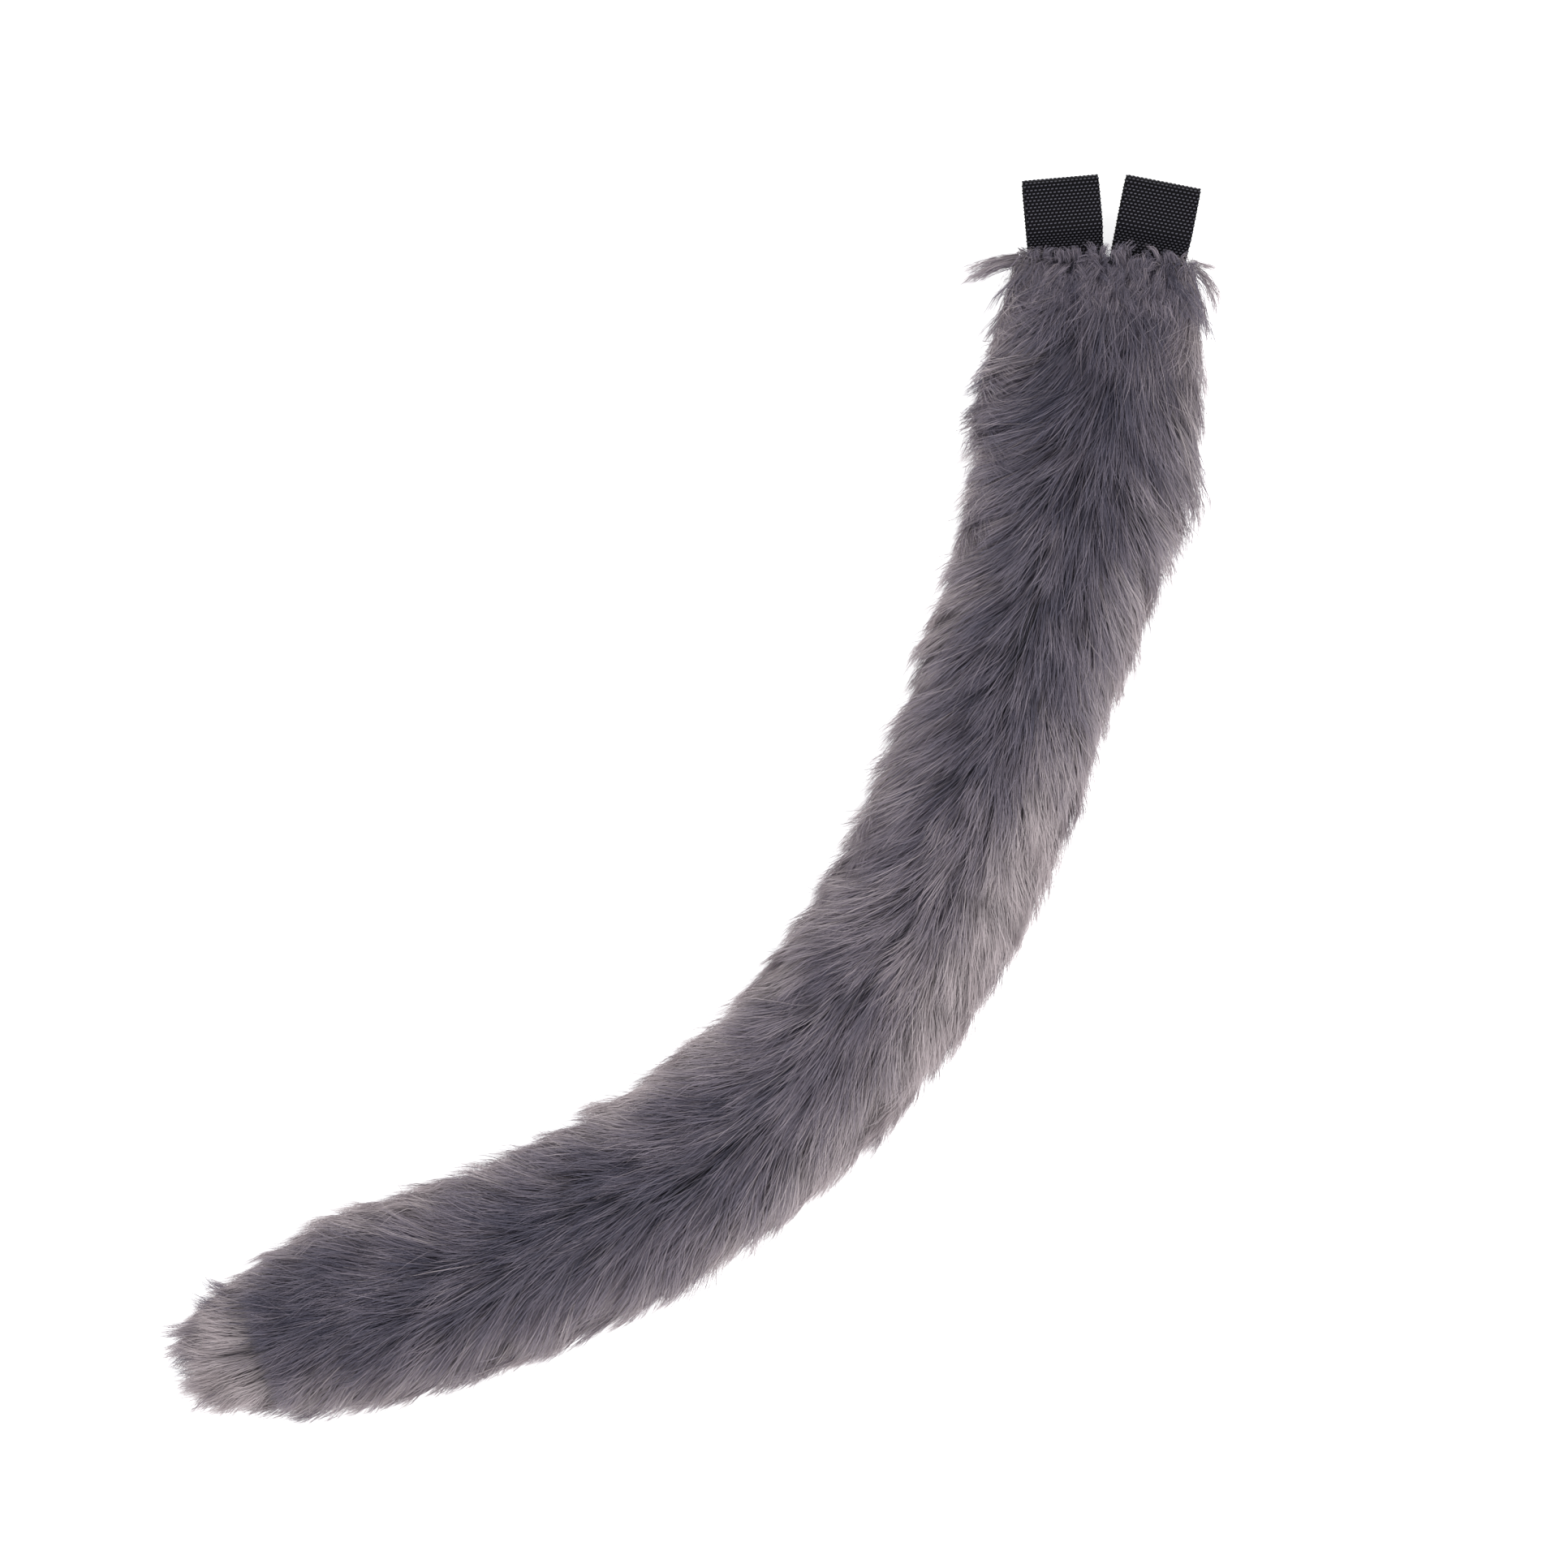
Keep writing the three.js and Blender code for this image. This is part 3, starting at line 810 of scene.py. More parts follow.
def tone_hairs(rng, roots, stray, depth, seen_angle, settings):
    """Each hair's tone from dark to light: painted light at the sides and past the step, and painted light
    and shade in the patches.
    """
    count = len(roots.length)
    shares = TONE_SHARES
    tone = settings.tone + shares["coarse"] * roots.coarse[:, 4] + shares["middling"] * roots.middling[:, 4]
    tone += shares["fine"] * roots.fine[:, 4] + shares["hair"] * rng.normal(0, 1, count)
    tone += shares["depth"] * (depth - 0.5)

    # Painted light at the sides, where the pile is lit through from behind: the outer side grows lighter
    # from nearer the top than the inner side does
    sideways = np.cos(seen_angle)
    painted_side_lightening = np.where(sideways > 0, sideways**2, sideways**4)
    tone += settings.painted_side_light * painted_side_lightening + painted_light_and_shade(roots.length, roots.angle)
    # Painted light on the pile past the step
    stepped, before_step = tip_step(roots.length, roots.angle)
    tone += np.where(before_step < 0, TIP_STEP["light"] * stepped, 0.0)
    # Guard hairs: lighter at random, and partly painted sheen on single strands
    tone = np.where(rng.random(count) < settings.guard_and_sheen_share, tone + shares["guard_and_sheen"], tone)
    return np.where(stray, tone + shares["stray"], tone)


def grow_pile(rng, count, low, high, patches, settings):
    """Hairs rooted between two lengths: their spines, facings, tones, widths and buried shares."""
    roots = Roots(rng, count, low, high, patches)
    length, angle = roots.length, roots.angle
    lean, bend = lean_and_bend(rng, roots)
    stray, depth, hair, reach, turn = size_hairs(rng, roots, settings)
    upward = fade(np.sin(angle), *RUFFLE["upward"])
    falls_back = rng.uniform(*RUFFLE["falls_back"], count) * roots.near_seam * upward
    spine, seen_angle = lay_spines(roots, lean + turn, bend, hair, reach, stray, falls_back, settings)
    facing = point_on(length, angle, np.ones(count)) - point_on(length, angle, np.zeros(count))
    facing /= np.linalg.norm(facing, axis=1)[:, None]
    tone = tone_hairs(rng, roots, stray, depth, seen_angle, settings)
    width = settings.hair_width / MM * rng.uniform(*PILE_WIDTHS, count)
    width *= np.where(stray, STRAYS["width"], 1.0)
    return spine, facing, tone, width, np.full(count, PILE_BURIED)


def facing_up(count):
    """Facings of hairs that show their flat side upwards."""
    facing = np.zeros((count, 3))
    facing[:, 2] = 1.0
    return facing


def grow_fringe(rng, count, girth, clumps, settings):
    """The loose hairs over the seam: some lie back over the feet of the loops, the rest arch forward."""
    length = FRINGE["from"] + FRINGE["down"] * rng.uniform(0, 1, count) ** FRINGE["crowding"]
    share = np.clip(rng.normal(FRINGE["middle"], FRINGE["spread"], count), 0.0, 0.5)
    clump_length, clump_share, values = clumps.of(length, share)
    angle = girth.angle(length, share)
    root = point_on(length, angle, np.zeros(count))
    clump = point_on(clump_length, girth.angle(clump_length, clump_share), np.zeros(count))
    _, along, outer = curve_at(length)
    turn = FRINGE["turn_by_tuft"] * values[:, 0] + FRINGE["turn_by_hair"] * rng.normal(0, 1, count)
    sideways = np.radians(turn) + FRINGE["fan"] * np.cos(angle)
    at_seam, added = FRINGE["arch_limit"]
    limit = added * fade(length, *FRINGE["arch_from"]) + at_seam
    arching = values[:, 1] + FRINGE["arch_mixing"] * rng.normal(0, 1, count) < limit
    laid = rng.uniform(*FRINGE["laid"], count) + FRINGE["laid_by_tuft"] * values[:, 2]
    hair = np.where(arching, rng.uniform(*FRINGE["arched"], count), laid)
    middle = np.exp(-(((angle - np.pi / 2) / FRINGE["laid_middle_width"]) ** 2))
    over_loops = FRINGE["laid_back"] + FRINGE["laid_middle"] * middle
    over_loops = over_loops * fade(np.sin(angle), *FRINGE["laid_upward"])
    back = np.where(arching, rng.uniform(*FRINGE["arch_back"], count), hair * over_loops)
    drift = np.sin(sideways) * np.where(arching, FRINGE["arch_drift"] * hair, FRINGE["laid_drift"] * hair)
    curl = FRINGE["curl"] * values[:, 3]
    rise = rng.uniform(*FRINGE["rise"], count) * np.where(np.sin(angle) > 0, 1.0, FRINGE["side_drop"])
    spine = np.zeros((count, len(STATIONS), 3))
    for number, station in enumerate(STATIONS):
        arch = FRINGE["arch_forward"] * hair * station**2 - back * math.sin(math.pi * station)
        forward = np.where(arching, arch, -back * math.sin(FRINGE["laid_turn"] * station))
        curled = curl * math.sin(FRINGE["curl_turns"] * math.pi * station) * station
        aside = drift * station ** FRINGE["drift_power"] + curled
        gathered = root + (clump - root) * FRINGE["gather"] * station
        spine[:, number] = gathered + along * forward[:, None] + outer * aside[:, None]
        risen = np.sin(np.pi * station ** FRINGE["rise_power"] * FRINGE["rise_turn"])
        spine[:, number, 2] += rise * risen + FRINGE["lift"]
    tone = FRINGE["tone"] + FRINGE["tone_by_tuft"] * values[:, 4]
    tone += FRINGE["tone_by_hair"] * rng.normal(0, 1, count)
    width = settings.hair_width / MM * rng.uniform(*FRINGE_WIDTHS, count)
    return spine, facing_up(count), tone, width, np.full(count, FRINGE_BURIED)


def grow_wisp(rng, wisp, settings):
    """The hairs of one wisp that stands out sideways from the outline and comes to a point."""
    shape, count = WISP_SHAPE, wisp["hairs"]
    length = wisp["along"] + rng.normal(0, wisp["spread"], count)
    side_angle = 0.0 if wisp["side"] > 0 else math.pi
    angle = side_angle + rng.normal(0, shape["round"], count)
    root = point_on(np.clip(length, 0, SLEEVE_LENGTH), angle, np.zeros(count))
    _, along, outer = curve_at(np.full(count, float(wisp["along"])))
    middle = point_on(np.full(1, float(wisp["along"])), np.full(1, side_angle), np.ones(1))
    hair = wisp["length"] * rng.uniform(*shape["lengths"], count)
    waver = rng.normal(0, math.radians(shape["waver"]), count)
    spine = np.zeros((count, len(STATIONS), 3))
    reached = np.zeros((count, 3))
    before = 0.0
    for number, station in enumerate(STATIONS):
        lean = np.radians(wisp["start"] + (wisp["end"] - wisp["start"]) * station) + waver
        step = hair * (station - before)
        before = station
        reached = reached + along * (step * np.cos(lean))[:, None]
        reached += outer * (wisp["side"] * step * np.sin(lean))[:, None]
        reached[:, 2] += step * (shape["rise"] - shape["fall"] * station)
        spine[:, number] = root + (middle - root) * shape["gather"] * station + reached
    tone = wisp["tone"] + shape["tone"] * rng.normal(0, 1, count)
    width = settings.hair_width / MM * rng.uniform(*WISP_WIDTHS, count)
    return spine, facing_up(count), tone, width, np.full(count, WISP_BURIED)


def hair_mesh(name, hairs, rng, material):
    """A mesh of flat tapering hairs, each of two four-cornered faces and a pointed one."""
    spine, facing, tone, width, buried = hairs
    count = len(spine)
    spine = spine.copy()
    spine[..., 2] = np.maximum(spine[..., 2], LOWEST_SPINE)
    ahead = unit(np.gradient(spine, axis=1))
    across = unit(np.cross(facing[:, None, :], ahead))
    over = np.cross(ahead, across)
    roll = np.clip(rng.normal(0, ROLL["spread"], count), -ROLL["most"], ROLL["most"])[:, None, None]
    across = across * np.cos(roll) + over * np.sin(roll)
    half = (width[:, None] * STATION_WIDTHS[None, :] / 2)[..., None]
    left, right = spine - across * half, spine + across * half
    for edge in (left, right):
        edge[..., 2] = np.maximum(edge[..., 2], LOWEST_EDGE)

    # Seven points to a hair: pairs at the first three stations and the tip
    pairs = len(STATIONS) - 1
    number = 2 * pairs + 1
    points = np.empty((count, number, 3))
    points[:, 0:-1:2] = left[:, :pairs]
    points[:, 1:-1:2] = right[:, :pairs]
    points[:, -1] = spine[:, -1]
    hair_corners = np.array([0, 1, 3, 2, 2, 3, 5, 4, 4, 5, 6])
    corners = (number * np.arange(count)[:, None] + hair_corners).ravel()
    piece = place_mesh(name, points, corners, np.tile([4, 4, 3], count), material)

    # The map holds each hair's own tone from side to side and root to tip upwards, where a hair that
    # isn't buried in the pile starts higher, out of the painted shade at the roots
    along = 1 - buried[:, None] * (1 - np.repeat(STATIONS, 2)[None, :number])
    tone = np.clip(tone, *TONE_LIMITS)
    uv = np.stack([np.broadcast_to(tone[:, None], (count, number)), along], axis=-1)
    layer = piece.data.uv_layers.new(name="OFBake")
    layer.data.foreach_set("uv", uv.reshape(-1, 2)[corners].astype(np.float32).ravel())
    return piece


def fur_material(settings):
    """Modacrylic pile, spun fine and tipped lighter: soft, a little glossy, and dark between the hairs,
    partly as painted shade at the roots.
    """
    material, tree, shader = new_material("Modacrylic pile, tipped, painted shade")
    shader.inputs["Roughness"].default_value = 0.52
    shader.inputs["Specular IOR Level"].default_value = 0.35
    where = add_node(tree, "ShaderNodeUVMap", {"uv_map": "OFBake"})
    parts = add_node(tree, "ShaderNodeSeparateXYZ", links={0: where}).outputs
    # The light, pinkish end of the tone ramp mostly shows painted light: the lit sides, patches, step and
    # wisps
    colours = [(0.0, settings.dark), (0.3, settings.middle), (0.6, linear("8d8490")), (1.0, settings.light)]
    tone = add_node(tree, "ShaderNodeValToRGB", links={"Fac": parts["X"]}, stops=colours)
    # Darker towards the root: the pile's tipping, and painted shade deep in the pile
    shades = [(0.1, linear("77777c")), (0.6, linear("dadadc")), (1.0, linear("ffffff"))]
    root = add_node(tree, "ShaderNodeValToRGB", links={"Fac": parts["Y"]}, stops=shades)
    mixed = add_node(
        tree,
        "ShaderNodeMix",
        {"data_type": "RGBA", "blend_type": "MULTIPLY"},
        {"Factor": 1.0, "A": tone.outputs["Color"], "B": root.outputs["Color"]},
    )
    tree.links.new(mixed.outputs["Result"], shader.inputs["Base Color"])
    return material


def backing_material():
    """Knitted polyester backing cloth under the pile: matt, and seen only as the dark between the hairs."""
    material, tree, shader = new_material("Knitted polyester backing")
    shader.inputs["Roughness"].default_value = 0.9
    place = add_node(tree, "ShaderNodeTexCoord").outputs["Object"]
    knit = add_node(
        tree, "ShaderNodeTexNoise", links={"Vector": place, "Scale": 1 / (STITCH_SIZE * MM), "Detail": 2.0}
    )
    shades = [(0.3, linear("26252c")), (0.7, linear("3a3942"))]
    colour = add_node(tree, "ShaderNodeValToRGB", links={"Fac": knit.outputs["Fac"]}, stops=shades)
    tree.links.new(colour.outputs["Color"], shader.inputs["Base Color"])
    return material


# Webbing


def loop_path():
    """The middle of a loop's strip in side view, as points: distance from the seam and height."""
    inner = LOOP_OPENING / 2
    radius = inner + WEBBING_THICKNESS / 2
    low = -(LAYER_GAP + WEBBING_THICKNESS) / 2
    fold_at = LOOP_LENGTH - inner - WEBBING_THICKNESS
    fold_height = inner - LAYER_GAP / 2
    top = fold_height + radius
    risen = LOOP_STEM + LOOP_RAMP
    bend = LOOP_STEM + LOOP_RAMP / 2
    turn = np.linspace(-np.pi / 2, np.pi / 2, FOLD_POINTS)
    fold = np.stack([fold_at + radius * np.cos(turn), fold_height + radius * np.sin(turn)], axis=1)

    # The ramp from the fold down to the stem is a Bezier curve
    share = np.linspace(0, 1, RAMP_POINTS)[:, None]
    rest = 1 - share
    weights = (rest**3, 3 * share * rest**2, 3 * share**2 * rest, share**3)
    corners = ((risen, top), (bend, top), (bend, -low), (LOOP_STEM, -low))
    ramp = sum(weight * np.array(corner) for weight, corner in zip(weights, corners))
    return np.concatenate([[(-LOOP_TUCK, low)], fold, ramp, [(-LOOP_TUCK, -low)]])


def spaced(path, pitch):
    """The same path with evenly spaced points, close to the pitch."""
    steps = np.linalg.norm(np.diff(path, axis=0), axis=1)
    walked = np.concatenate([[0], np.cumsum(steps)])
    count = round(walked[-1] / pitch)
    even = np.linspace(0, walked[-1], count + 1)
    return np.stack([np.interp(even, walked, path[:, i]) for i in (0, 1)], axis=1)


def webbing_core(tree, given, normal):
    """Nodes for the strip's core: the sheet, with half the core's thickness on either side of it."""
    thickness = given["Core Thickness"]
    half = add_node(tree, "ShaderNodeMath", {"operation": "MULTIPLY"}, {0: thickness, 1: -0.5})
    aside = add_node(tree, "ShaderNodeVectorMath", {"operation": "SCALE"}, {0: normal, "Scale": half})
    low = add_node(tree, "GeometryNodeSetPosition", links={"Geometry": given["Geometry"], "Offset": aside})
    sides = {"Mesh": low, "Offset Scale": thickness, "Individual": False}
    pulled = add_node(tree, "GeometryNodeExtrudeMesh", links=sides)
    under = add_node(tree, "GeometryNodeFlipFaces", links={"Mesh": low})
    both = add_node(tree, "GeometryNodeJoinGeometry", links={0: [pulled, under]})
    within = {"Geometry": both, "Distance": MERGED_WITHIN * MM}
    merged = add_node(tree, "GeometryNodeMergeByDistance", links=within)
    return add_node(tree, "GeometryNodeSetShadeSmooth", links={0: merged})


def yarn_float(tree, given):
    """Nodes for one float of a yarn: a ball drawn out between its poles, mapped from flank to crown for the
    painted highlight.
    """
    ball = add_node(tree, "GeometryNodeMeshUVSphere", links={"Segments": 6, "Rings": 3, "Radius": 0.5})
    on_its_side = (0, math.pi / 2, 0)
    laid = add_node(tree, "GeometryNodeTransform", links={"Geometry": ball, "Rotation": on_its_side})
    place = add_node(tree, "GeometryNodeInputPosition")
    height = add_node(tree, "ShaderNodeSeparateXYZ", links={0: place}).outputs["Z"]
    heights = {"From Min": CROWN_HEIGHTS[0], "From Max": CROWN_HEIGHTS[1]}
    crown_highlight = add_node(
        tree, "ShaderNodeMapRange", links={"Value": height, **heights, "To Min": 0.02, "To Max": 0.98}
    )
    spot = add_node(tree, "ShaderNodeCombineXYZ", links={"X": crown_highlight, "Y": 0.5})
    mapped = add_node(
        tree,
        "GeometryNodeStoreNamedAttribute",
        {"data_type": "FLOAT2", "domain": "CORNER"},
        {"Geometry": laid, "Name": "OFBake", "Value": spot},
    )
    sides = {"X": given["Yarn Length"], "Y": given["Yarn Width"], "Z": given["Yarn Height"]}
    size = add_node(tree, "ShaderNodeCombineXYZ", links=sides)
    soft = add_node(tree, "GeometryNodeSetShadeSmooth", links={0: mapped})
    return add_node(tree, "GeometryNodeTransform", links={"Geometry": soft, "Scale": size})


def webbing_tree(material):
    """Geometry Nodes that turn a sheet with one face for each crossing of yarns into woven webbing."""
    tree = bpy.data.node_groups.new("Woven webbing", "GeometryNodeTree")
    tree.interface.new_socket("Geometry", in_out="INPUT", socket_type="NodeSocketGeometry")
    for name in ("Core Thickness", "Yarn Length", "Yarn Width", "Yarn Height", "Pitch", "Slant"):
        tree.interface.new_socket(name, in_out="INPUT", socket_type="NodeSocketFloat")
    for name in ("Columns", "Seed"):
        tree.interface.new_socket(name, in_out="INPUT", socket_type="NodeSocketInt")
    tree.interface.new_socket("Geometry", in_out="OUTPUT", socket_type="NodeSocketGeometry")
    given = add_node(tree, "NodeGroupInput").outputs
    normal = add_node(tree, "GeometryNodeInputNormal")
    place = add_node(tree, "GeometryNodeInputPosition")
    across, out = (
        add_node(tree, "GeometryNodeInputNamedAttribute", {"data_type": "FLOAT_VECTOR"}, {"Name": name})
        for name in ("across", "out")
    )
    turned = add_node(
        tree,
        "FunctionNodeAxesToRotation",
        {"primary_axis": "X", "secondary_axis": "Z"},
        {"Primary Axis": across, "Secondary Axis": out},
    )
    layers = [webbing_core(tree, given, normal)]
    yarn = yarn_float(tree, given)

    # Every second row of yarns is set off by half a pitch, the other way on the other side
    index = add_node(tree, "GeometryNodeInputIndex")
    row = add_node(tree, "ShaderNodeMath", {"operation": "DIVIDE"}, {0: index, 1: given["Columns"]})
    whole = add_node(tree, "ShaderNodeMath", {"operation": "FLOOR"}, {0: row})
    odd = add_node(tree, "ShaderNodeMath", {"operation": "MODULO"}, {0: whole, 1: 2.0})
    aside = add_node(tree, "ShaderNodeMath", {"operation": "SUBTRACT"}, {0: odd, 1: 0.5})
    step = add_node(tree, "ShaderNodeMath", {"operation": "MULTIPLY"}, {0: aside, 1: given["Pitch"]})

    # Each yarn is slanted, a little more or less than the next
    spread = {2: SLANT_SPREAD[0], 3: SLANT_SPREAD[1], "Seed": given["Seed"]}
    share = add_node(tree, "FunctionNodeRandomValue", {"data_type": "FLOAT"}, spread).outputs[1]
    slant = add_node(tree, "ShaderNodeMath", {"operation": "MULTIPLY"}, {0: share, 1: given["Slant"]})

    for side in (1.0, -1.0):
        # Crossings are lifted onto the core and shifted along their row
        moves = []
        for direction, distance in ((normal, given["Core Thickness"]), (across, step)):
            half = add_node(tree, "ShaderNodeMath", {"operation": "MULTIPLY"}, {0: distance, 1: 0.5 * side})
            given_move = {0: direction, "Scale": half}
            moves.append(add_node(tree, "ShaderNodeVectorMath", {"operation": "SCALE"}, given_move))
        offset = add_node(tree, "ShaderNodeVectorMath", {"operation": "ADD"}, {0: moves[0], 1: moves[1]})
        crossing = add_node(tree, "ShaderNodeVectorMath", {"operation": "ADD"}, {0: place, 1: offset})
        faces = {"Mesh": given["Geometry"], "Position": crossing}
        spots = add_node(tree, "GeometryNodeMeshToPoints", {"mode": "FACES"}, faces)
        laid = {"Points": spots, "Instance": yarn, "Rotation": turned}
        placed = add_node(tree, "GeometryNodeInstanceOnPoints", links=laid)
        leaned = add_node(tree, "ShaderNodeMath", {"operation": "MULTIPLY"}, {0: slant, 1: side})
        twist = add_node(tree, "ShaderNodeCombineXYZ", links={"Z": leaned})
        leaning = {"Instances": placed, "Rotation": twist}
        layers.append(add_node(tree, "GeometryNodeRotateInstances", links=leaning))
    joined = add_node(tree, "GeometryNodeJoinGeometry", links={0: layers})
    real = add_node(tree, "GeometryNodeRealizeInstances", links={0: joined})
    woven = add_node(tree, "GeometryNodeSetMaterial", links={"Geometry": real, "Material": material})
    add_node(tree, "NodeGroupOutput", links={0: woven})
    return tree


def webbing_material(settings):
    """Woven polypropylene webbing: black multifilament yarns, with a painted highlight along each yarn's
    crown.
    """
    material, tree, shader = new_material("Woven polypropylene webbing")
    shader.inputs["Specular IOR Level"].default_value = 0.12
    where = add_node(tree, "ShaderNodeUVMap", {"uv_map": "OFBake"})
    crown_highlight = add_node(tree, "ShaderNodeSeparateXYZ", links={0: where}).outputs["X"]
    # Painted highlight on each yarn: dark on its flanks, rising through the shoulder to a light crown
    flank, highlight_shoulder = linear("15141b"), linear("3a3941")
    colours = [(0.05, settings.yarn), (0.45, flank), (0.75, highlight_shoulder), (1.0, settings.crown_highlight)]
    colour = add_node(tree, "ShaderNodeValToRGB", links={"Fac": crown_highlight}, stops=colours)
    tree.links.new(colour.outputs["Color"], shader.inputs["Base Color"])
    gloss = add_node(tree, "ShaderNodeMapRange", links={"Value": crown_highlight, "To Min": 0.7, "To Max": 0.45})
    tree.links.new(gloss.outputs["Result"], shader.inputs["Roughness"])
    return material


def weave_loop(name, side, settings, tree):
    """One folded loop: its strip as a sheet of yarn crossings, woven by the tree and made a plain mesh."""
    path = spaced(loop_path(), settings.yarn_pitch / MM)
    columns = settings.yarns_across
    lean, heading = math.radians(LOOP_LEANS[name]), math.radians(START_HEADING)
    foot = np.array([math.cos(heading), -math.sin(heading), 0]) * side * (WEBBING_WIDTH + LOOP_SPACING) / 2
    foot[2] = section_at(np.zeros(1))[3][0]
    up = np.array([0.0, 0.0, 1.0])
    across = np.array([math.cos(lean), math.sin(lean), 0.0])
    out = np.array([-math.sin(lean), math.cos(lean), 0.0])
    edge = np.linspace(-WEBBING_WIDTH / 2, WEBBING_WIDTH / 2, columns + 1)
    points = np.array([foot + across * x + out * away + up * height for away, height in path for x in edge])
    first = np.array([i * (columns + 1) + j for i in range(len(path) - 1) for j in range(columns)])
    corners = (first[:, None] + np.array([0, columns + 1, columns + 2, 1])).ravel()
    piece = place_mesh(name + "_webbing", points, corners, np.full(len(first), 4))

    # Directions across the strip and out of its face, for the tree to lay the yarns by
    ahead = np.diff(path, axis=0)
    ahead /= np.linalg.norm(ahead, axis=1)[:, None]
    facing = np.repeat(out * ahead[:, 1:2] - up * ahead[:, 0:1], columns, axis=0)
    for direction, vectors in (("across", np.tile(across, (len(first), 1))), ("out", facing)):
        attribute = piece.data.attributes.new(direction, "FLOAT_VECTOR", "FACE")
        attribute.data.foreach_set("vector", vectors.astype(np.float32).ravel())
    weave = piece.modifiers.new("Weave", "NODES")
    weave.node_group = tree
    given = {
        "Core Thickness": CORE_THICKNESS * MM,
        "Yarn Length": YARN_SIZE[0] * MM,
        "Yarn Width": YARN_SIZE[1] * MM,
        "Yarn Height": YARN_SIZE[2] * MM,
        "Pitch": WEBBING_WIDTH * MM / columns,
        "Slant": math.radians(YARN_SLANT),
        "Columns": columns,
        "Seed": WEAVE_SEED,
    }
    set_inputs(weave, given)
    plain_mesh(piece)
    return piece


# Add-on


def colour_property(name, description, hex_colour):
    """A colour among the settings, given as an sRGB hex colour."""
    return bpy.props.FloatVectorProperty(
        name=name,
        description=description,
        default=linear(hex_colour),
        size=4,
        min=0,
        max=1,
        subtype="COLOR",
    )


class TailPileSettings(bpy.types.PropertyGroup):
    hairs: bpy.props.IntProperty(
        name="Hairs", description="Number of hairs of pile", default=162000, min=1000
    )
    hair_length: bpy.props.FloatProperty(
        name="Hair length", description="Length of a hair", default=0.027, unit="LENGTH", subtype="DISTANCE"
    )
    hair_width: bpy.props.FloatProperty(
        name="Hair width",
        description="Width drawn for a hair, coarser than the real one so that it shows",
        default=0.0002,
        unit="LENGTH",
        subtype="DISTANCE",
        precision=5,
    )
    gather: bpy.props.FloatProperty(
        name="Gather",
        description="How far hairs of a tuft draw together at their tips",
        default=0.42,
        min=0,
        max=1,
    )
    # Guard hairs are lighter at random, and their lightening is also painted sheen on single strands
    guard_and_sheen_share: bpy.props.FloatProperty(
        name="Guard hairs",
        description="Share of lighter hairs",
        default=0.14,
        subtype="FACTOR",
        min=0,
        max=1,
    )
    stray_share: bpy.props.FloatProperty(
        name="Stray hairs",
        description="Share of hairs out of line",
        default=0.004,
        subtype="FACTOR",
        min=0,
        max=1,
    )
    fringe_hairs: bpy.props.IntProperty(
        name="Fringe hairs", description="Number of loose hairs over the seam", default=6000, min=0
    )
    tone: bpy.props.FloatProperty(
        name="Tone", description="Tone of the pile on top, from dark to light", default=0.295, min=0, max=1
    )
    # Painted light: how much lighter the pile is painted at its sides, where it is lit through from behind
    painted_side_light: bpy.props.FloatProperty(
        name="Side tone", description="How much lighter the pile is at its sides", default=0.5, min=0, max=1
    )
    dark: colour_property("Dark pile", "Colour of the darkest hairs", "323043")
    middle: colour_property("Middle pile", "Colour of most hairs on top", "5d5a6b")
    light: colour_property("Light pile", "Colour of the lightest hairs", "d0c4c6")
    seed: bpy.props.IntProperty(name="Seed", description="Start of the random numbers", default=11)


class TailWebbingSettings(bpy.types.PropertyGroup):
    yarns_across: bpy.props.IntProperty(
        name="Yarns across", description="Yarn crossings over the webbing's width", default=18, min=4
    )
    yarn_pitch: bpy.props.FloatProperty(
        name="Yarn pitch",
        description="Distance from one row of yarns to the next",
        default=0.00114,
        unit="LENGTH",
        subtype="DISTANCE",
        precision=5,
    )
    yarn: colour_property("Yarn", "Colour of the yarns between their crowns", "050408")
    # The crowns' colour is a painted highlight
    crown_highlight: colour_property("Yarn crowns", "Colour of the worn crowns of the yarns", "74737d")


class TailStageSettings(bpy.types.PropertyGroup):
    lens: bpy.props.FloatProperty(name="Lens", description="Focal length of the camera in mm", default=85.0)
    table_glow: bpy.props.FloatProperty(
        name="Table glow", description="Light given off by the white table", default=0.7, min=0
    )
    key_power: bpy.props.FloatProperty(
        name="Key light", description="Power of the large soft light", default=9.0, unit="POWER"
    )
    sky: bpy.props.FloatProperty(
        name="Room light", description="Strength of the pale room", default=0.75, min=0
    )


def dressed(piece, node):
    """Ties a finished piece to the part: it rides on the root body and stands for a solid."""
    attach(piece, "root")
    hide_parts(node)


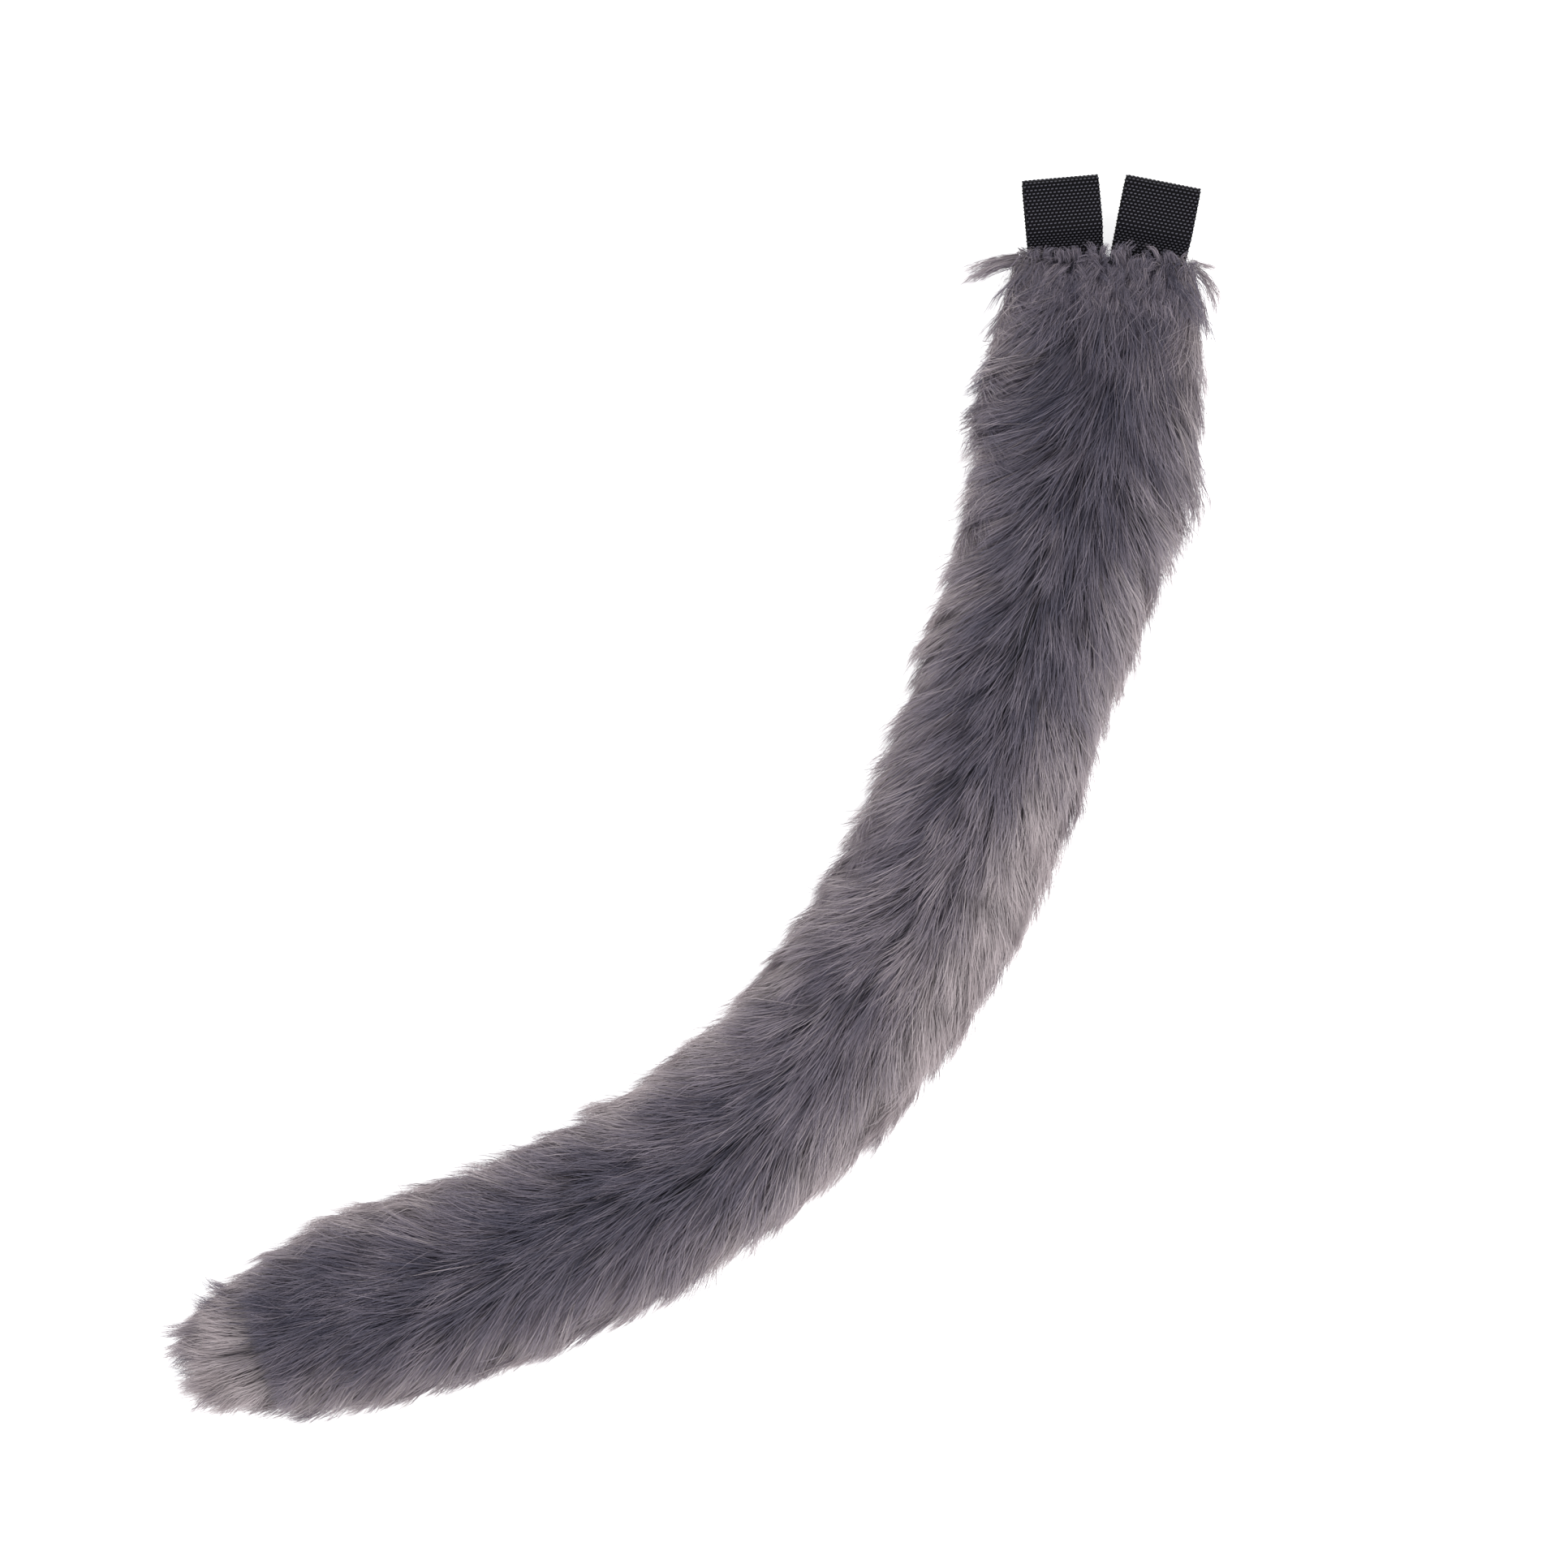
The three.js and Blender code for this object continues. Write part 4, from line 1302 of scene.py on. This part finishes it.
class TAIL_OT_stuffed_sleeve(bpy.types.Operator):
    """Makes the stuffed sleeve of backing cloth that carries the pile"""

    bl_idname = "tail.stuffed_sleeve"
    bl_label = "Stuffed Sleeve"

    RINGS = 110
    AROUND = 44
    CROWDING = 0.35  # Share of the rings' spacing that crowds them towards both ends

    def execute(self, context):
        even = np.linspace(0, 1, self.RINGS)
        crowded = (1 - np.cos(even * np.pi)) / 2
        length = (self.CROWDING * crowded + (1 - self.CROWDING) * even) * SLEEVE_LENGTH
        angle = np.linspace(0, 2 * np.pi, self.AROUND, endpoint=False)
        grid_length, grid_angle = np.meshgrid(length, angle, indexing="ij")
        skin = -SKIN_DEPTH * section_value("taper", grid_length / SLEEVE_LENGTH)
        points = point_on(grid_length, grid_angle, skin)

        # Rings of four-cornered faces, and a many-cornered face at each end
        ring = np.arange(self.AROUND)
        after = (ring + 1) % self.AROUND
        first = self.AROUND * np.arange(self.RINGS - 1)[:, None, None]
        sides = first + np.stack([ring, after, after + self.AROUND, ring + self.AROUND], axis=1)
        corners = np.concatenate([sides.ravel(), ring[::-1], ring + self.AROUND * (self.RINGS - 1)])
        counts = np.array([4] * self.AROUND * (self.RINGS - 1) + [self.AROUND] * 2)
        piece = place_mesh("stuffed_sleeve", points, corners, counts, backing_material())
        dressed(piece, "fur_tail")
        return {"FINISHED"}


class TAIL_OT_pile(bpy.types.Operator):
    """Grows the pile of faux fur over the sleeve, with its tufts, as meshes of hairs"""

    bl_idname = "tail.pile"
    bl_label = "Pile"

    BANDS = 5

    def execute(self, context):
        settings = context.scene.tail_pile
        rng = np.random.default_rng(settings.seed)
        girth = Girth()
        patches = (girth, *(Clumps(rng, size, columns) for size, columns in TUFTS), Waves(rng, **WAVES))
        fringe_clumps = Clumps(rng, FRINGE["tuft"], FRINGE["tufts_round"])
        wisps = [dict(zip(WISP_COLUMNS, row)) for row in WISPS]
        material = fur_material(settings)
        band = SLEEVE_LENGTH / self.BANDS
        each = settings.hairs // self.BANDS
        for number in range(self.BANDS):
            low, high = number * band, (number + 1) * band
            grown = [grow_pile(rng, each, low, high, patches, settings)]
            grown += [grow_wisp(rng, wisp, settings) for wisp in wisps if low <= wisp["along"] < high]
            if number == 0:
                grown.append(grow_fringe(rng, settings.fringe_hairs, girth, fringe_clumps, settings))
            hairs = [np.concatenate(column) for column in zip(*grown)]
            piece = hair_mesh(f"pile_{number + 1}", hairs, rng, material)
            dressed(piece, "fur_tail")
        return {"FINISHED"}


class TAIL_OT_belt_loops(bpy.types.Operator):
    """Weaves the two folded belt loops"""

    bl_idname = "tail.belt_loops"
    bl_label = "Belt Loops"

    def execute(self, context):
        settings = context.scene.tail_webbing
        tree = webbing_tree(webbing_material(settings))
        for name, side in (("belt_loop_left", -1), ("belt_loop_right", 1)):
            dressed(weave_loop(name, side, settings, tree), name)
        return {"FINISHED"}


class TAIL_OT_stage(bpy.types.Operator):
    """Sets out the white table, the soft lights, the pale room and the camera straight above"""

    bl_idname = "tail.stage"
    bl_label = "Table, Lights and Camera"

    def execute(self, context):
        settings = context.scene.tail_stage
        self.table(settings)
        self.lights(context, settings)
        self.camera(context, settings)
        return {"FINISHED"}

    def table(self, settings):
        """Opal acrylic table, lit from below: white without a shadow, as under a product photo."""
        material, tree, shader = new_material("Opal acrylic, backlit")
        shader.inputs["Base Color"].default_value = linear("f4f4f4")
        shader.inputs["Roughness"].default_value = 0.8
        shader.inputs["Emission Color"].default_value = linear("ffffff")
        shader.inputs["Emission Strength"].default_value = settings.table_glow
        mesh = bpy.data.meshes.new("table")
        corners = TABLE_HALF * np.array([(-1, -1, 0), (1, -1, 0), (1, 1, 0), (-1, 1, 0)])
        fill_mesh(mesh, corners, np.arange(4), np.array([4]))
        add_object("table", mesh, material)

    def lights(self, context, settings):
        """A pale room and two large soft lights that face the middle of the table."""
        world = bpy.data.worlds.new("Pale room")
        context.scene.world = world
        world.use_nodes = True
        background = world.node_tree.nodes["Background"]
        background.inputs["Color"].default_value = linear("ffffff")
        background.inputs["Strength"].default_value = settings.sky
        for name, given in LIGHTS.items():
            data = bpy.data.lights.new(name, "AREA")
            data.energy = settings.key_power * given["share"]
            data.size = given["size"]
            light = bpy.data.objects.new(name, data)
            light.location = given["place"]
            x, y, z = given["place"]
            light.rotation_euler = (math.atan2(math.hypot(x, y), z), 0, math.atan2(y, x) + math.pi / 2)
            context.scene.collection.objects.link(light)

    def camera(self, context, settings):
        """The photograph's frame: straight down on its middle, at its scale at the height of the loops."""
        data = bpy.data.cameras.new("camera")
        data.sensor_width = SENSOR_WIDTH
        data.lens = settings.lens
        middle = PHOTO_PIXELS / 2
        x = SEAM_PLACE[0] + (middle - SEAM_PIXEL[0]) * MM_PER_PIXEL
        y = SEAM_PLACE[1] + (SEAM_PIXEL[1] - middle) * MM_PER_PIXEL
        frame_width = PHOTO_PIXELS * MM_PER_PIXEL * MM
        above = frame_width * settings.lens / SENSOR_WIDTH
        loop_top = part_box("belt_loop_left")[1][2]
        camera = bpy.data.objects.new("camera", data)
        camera.location = (x * MM, y * MM, loop_top + above)
        context.scene.collection.objects.link(camera)
        context.scene.camera = camera
        context.scene.view_settings.view_transform = "Standard"


OPERATORS = (TAIL_OT_stage, TAIL_OT_stuffed_sleeve, TAIL_OT_pile, TAIL_OT_belt_loops)


class TAIL_PT_panel(bpy.types.Panel):
    bl_idname = "TAIL_PT_panel"
    bl_label = "Costume Tail"
    bl_space_type = "VIEW_3D"
    bl_region_type = "UI"
    bl_category = "Costume Tail"

    def draw(self, context):
        layout = self.layout
        for operator in OPERATORS:
            layout.operator(operator.bl_idname)
        for settings in (context.scene.tail_pile, context.scene.tail_webbing, context.scene.tail_stage):
            box = layout.box()
            for name in settings.__annotations__:
                box.prop(settings, name)


SETTINGS = {
    "tail_pile": TailPileSettings,
    "tail_webbing": TailWebbingSettings,
    "tail_stage": TailStageSettings,
}
CLASSES = (*SETTINGS.values(), *OPERATORS, TAIL_PT_panel)


def register():
    for cls in CLASSES:
        bpy.utils.register_class(cls)
    for name, cls in SETTINGS.items():
        setattr(bpy.types.Scene, name, bpy.props.PointerProperty(type=cls))


def unregister():
    for name in SETTINGS:
        delattr(bpy.types.Scene, name)
    for cls in reversed(CLASSES):
        bpy.utils.unregister_class(cls)


def main():
    """Builds the stage and the tail."""
    register()
    for operator in OPERATORS:
        group, name = operator.bl_idname.split(".")
        getattr(getattr(bpy.ops, group), name)()


if __name__ == "__main__":
    main()
